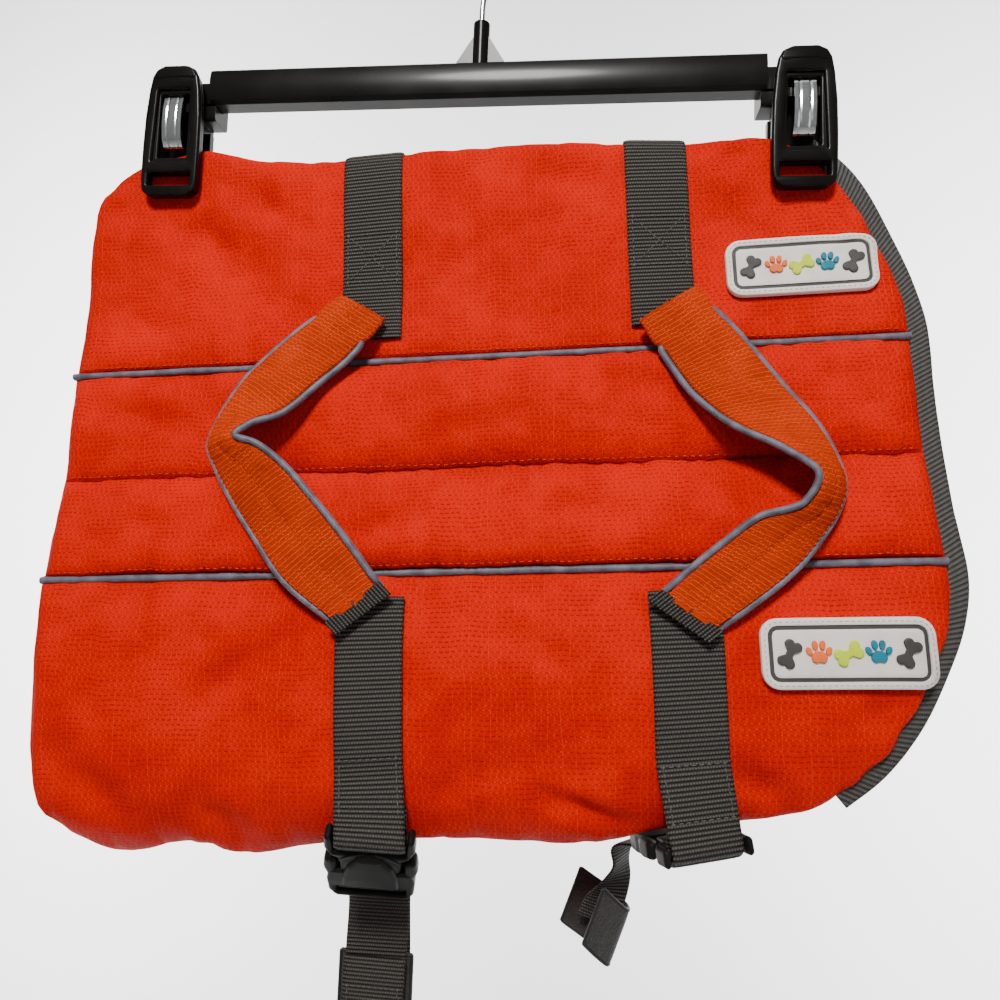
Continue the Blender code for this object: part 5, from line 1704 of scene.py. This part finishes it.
# ---- stage --------------------------------------------------------------
def build_stage():
    scene = bpy.context.scene
    paint = stage_paint("stage_paint", (0.92, 0.92, 0.92))
    floor_paint = stage_paint("floor_paint", (0.60, 0.60, 0.60))
    floor = add_mesh("floor", [(-6000, -6000, -1650), (6000, -6000, -1650), (6000, 1500, -1650),
                               (-6000, 1500, -1650)], [(0, 1, 2, 3)], floor_paint)
    wall = add_mesh("backdrop", [(-6000, 1500, -1650), (6000, 1500, -1650),
                                 (6000, 1500, 5000), (-6000, 1500, 5000)], [(0, 1, 2, 3)], paint)
    light = scene.jacket_light
    for name, spot, aim, size, power, colour in (
            ("key", (-0.12, -1.25, 0.80), (0.0, 0.0, -0.26), 0.36, light.key, (1.0, 0.985, 0.96)),
            ("fill", (1.25, -1.2, -0.1), (0.0, 0.0, -0.26), 1.3, light.fill, (0.95, 0.97, 1.0)),
            ("top", (0.1, -0.1, 1.1), (0.0, 0.0, -0.26), 1.2, light.top, (1.0, 1.0, 1.0)),
            ("wall_left", (-1.3, 0.3, -0.15), (-1.05, 1.5, -0.15), 0.5, light.wall, (1, 1, 1)),
            ("wall_right", (1.3, 0.3, -0.15), (1.05, 1.5, -0.15), 0.5, light.wall, (1, 1, 1))):
        data = bpy.data.lights.new(name, "AREA")
        data.shape, data.size, data.energy, data.color = "DISK", size, power, colour
        if name.startswith("wall"):
            data.shape, data.size_y = "RECTANGLE", 2.4
        lamp = in_scene(name, data)
        lamp.location = spot
        lamp.rotation_euler = (Vector(aim) - Vector(spot)).to_track_quat("-Z", "Y").to_euler()
    world = bpy.data.worlds.new("world")
    world.use_nodes = True
    background = world.node_tree.nodes["Background"]
    background.inputs["Color"].default_value = (1.0, 1.0, 1.0, 1.0)
    background.inputs["Strength"].default_value = light.world
    scene.world = world
    scene.camera = camera()


def camera():
    """In front of the garment, a little below its middle, looking slightly up and left."""
    yaw, pitch, roll = (math.radians(a) for a in (5.94, 4.34, 2.10))
    ahead = Vector((-math.sin(yaw) * math.cos(pitch), math.cos(yaw) * math.cos(pitch),
                    math.sin(pitch)))
    level = Vector((math.cos(yaw), math.sin(yaw), 0))
    over = level.cross(ahead)
    right = math.cos(roll) * level + math.sin(roll) * over
    up = -math.sin(roll) * level + math.cos(roll) * over
    data = bpy.data.cameras.new("camera")
    data.sensor_width, data.lens = 36.0, 27.036
    data.clip_start, data.clip_end = 0.01, 20.0
    made = in_scene("camera", data)
    turn = Matrix((right, up, -ahead)).transposed().to_4x4()
    made.matrix_world = Matrix.Translation((0.0477, -0.3088, -0.2897)) @ turn
    return made


# ---- add-on -------------------------------------------------------------
def tint(name, value):
    return FloatVectorProperty(name=name, subtype="COLOR", size=3, min=0, max=1, default=value)


def measure(name, value, text=""):
    return FloatProperty(name=name, default=value, min=0.0, description=text)


class JacketColours(bpy.types.PropertyGroup):
    shell: tint("Shell", (0.78, 0.007, 0.0005))
    handle: tint("Handles", (0.56, 0.034, 0.002))
    webbing: tint("Webbing", (0.032, 0.028, 0.023))
    piping: tint("Piping", (0.112, 0.112, 0.148))
    plastic: tint("Plastic", (0.005, 0.0045, 0.004))


class JacketSizes(bpy.types.PropertyGroup):
    ripstop_pitch: measure("Ripstop grid", 2.3, "Spacing of the heavier threads, in mm")
    webbing_rib: measure("Webbing rib", 1.6, "Spacing of the webbing's ribs, in mm")
    stitch_pitch: measure("Stitch spacing", 3.0, "From stitch to stitch, in mm")
    stitch_length: measure("Stitch length", 2.2, "Thread that shows in each stitch, in mm")


class JacketLight(bpy.types.PropertyGroup):
    key: measure("Key", 34.0, "Power in watts")
    fill: measure("Fill", 3.5, "Power in watts")
    top: measure("Top", 2.0, "Power in watts")
    wall: measure("Backdrop", 100.0, "Power in watts, for each side")
    world: measure("World", 0.20, "Strength of the even light")


class JACKET_OT_shell(bpy.types.Operator):
    """Builds the four padded panels, their pipings and their topstitching"""
    bl_idname = "jacket.shell"
    bl_label = "Padded panels"

    def execute(self, context):
        build_shell()
        build_pipings()
        return {"FINISHED"}


class JACKET_OT_straps(bpy.types.Operator):
    """Lays the webbing over both flanks and round the buckles' bars"""
    bl_idname = "jacket.straps"
    bl_label = "Straps"

    def execute(self, context):
        build_straps()
        return {"FINISHED"}


class JACKET_OT_handles(bpy.types.Operator):
    """Builds both padded handles with their corded edges"""
    bl_idname = "jacket.handles"
    bl_label = "Handles"

    def execute(self, context):
        build_handles()
        return {"FINISHED"}


class JACKET_OT_patches(bpy.types.Operator):
    """Builds both rubber patches with their raised bones and paws"""
    bl_idname = "jacket.patches"
    bl_label = "Patches"

    def execute(self, context):
        build_patches()
        return {"FINISHED"}


class JACKET_OT_neck_band(bpy.types.Operator):
    """Binds the neck end with ribbed webbing"""
    bl_idname = "jacket.neck_band"
    bl_label = "Neck band"

    def execute(self, context):
        build_neck_band()
        return {"FINISHED"}


class JACKET_OT_belly_straps(bpy.types.Operator):
    """Hangs the belly straps, their tails and their keepers"""
    bl_idname = "jacket.belly_straps"
    bl_label = "Belly straps"

    def execute(self, context):
        build_belly_straps()
        build_tails()
        return {"FINISHED"}


class JACKET_OT_buckles(bpy.types.Operator):
    """Moulds both side-release buckles, fastened"""
    bl_idname = "jacket.buckles"
    bl_label = "Buckles"

    def execute(self, context):
        build_buckles()
        return {"FINISHED"}


class JACKET_OT_hanger(bpy.types.Operator):
    """Builds the hanger's hook, bar, clips and springs"""
    bl_idname = "jacket.hanger"
    bl_label = "Clip hanger"

    def execute(self, context):
        build_hook_and_bar()
        build_clips()
        return {"FINISHED"}


class JACKET_OT_stage(bpy.types.Operator):
    """Sets a plain pale floor and backdrop, soft lights and the camera"""
    bl_idname = "jacket.stage"
    bl_label = "Stage"

    def execute(self, context):
        build_stage()
        return {"FINISHED"}


OPERATORS = (JACKET_OT_shell, JACKET_OT_straps, JACKET_OT_handles, JACKET_OT_patches,
             JACKET_OT_neck_band, JACKET_OT_belly_straps, JACKET_OT_buckles, JACKET_OT_hanger,
             JACKET_OT_stage)


class JACKET_PT_panel(bpy.types.Panel):
    """The jacket's colours, sizes and lights, and a button for each group"""
    bl_idname = "JACKET_PT_panel"
    bl_label = "Dog life jacket"
    bl_space_type = "VIEW_3D"
    bl_region_type = "UI"
    bl_category = "Life jacket"

    def draw(self, context):
        scene = context.scene
        for group in (scene.jacket_colours, scene.jacket_sizes, scene.jacket_light):
            box = self.layout.box()
            for key in type(group).__annotations__:
                box.prop(group, key)
        for operator in OPERATORS:
            self.layout.operator(operator.bl_idname)


GROUPS = {"jacket_colours": JacketColours, "jacket_sizes": JacketSizes,
          "jacket_light": JacketLight}


def register():
    for kind in (*GROUPS.values(), *OPERATORS, JACKET_PT_panel):
        bpy.utils.register_class(kind)
    for name, kind in GROUPS.items():
        setattr(bpy.types.Scene, name, PointerProperty(type=kind))


def unregister():
    for name in GROUPS:
        delattr(bpy.types.Scene, name)
    for kind in reversed((*GROUPS.values(), *OPERATORS, JACKET_PT_panel)):
        bpy.utils.unregister_class(kind)


def main():
    register()
    for step in (bpy.ops.jacket.shell, bpy.ops.jacket.straps, bpy.ops.jacket.handles,
                 bpy.ops.jacket.patches, bpy.ops.jacket.neck_band, bpy.ops.jacket.belly_straps,
                 bpy.ops.jacket.buckles, bpy.ops.jacket.hanger, bpy.ops.jacket.stage):
        step()


if __name__ == "__main__":
    main()
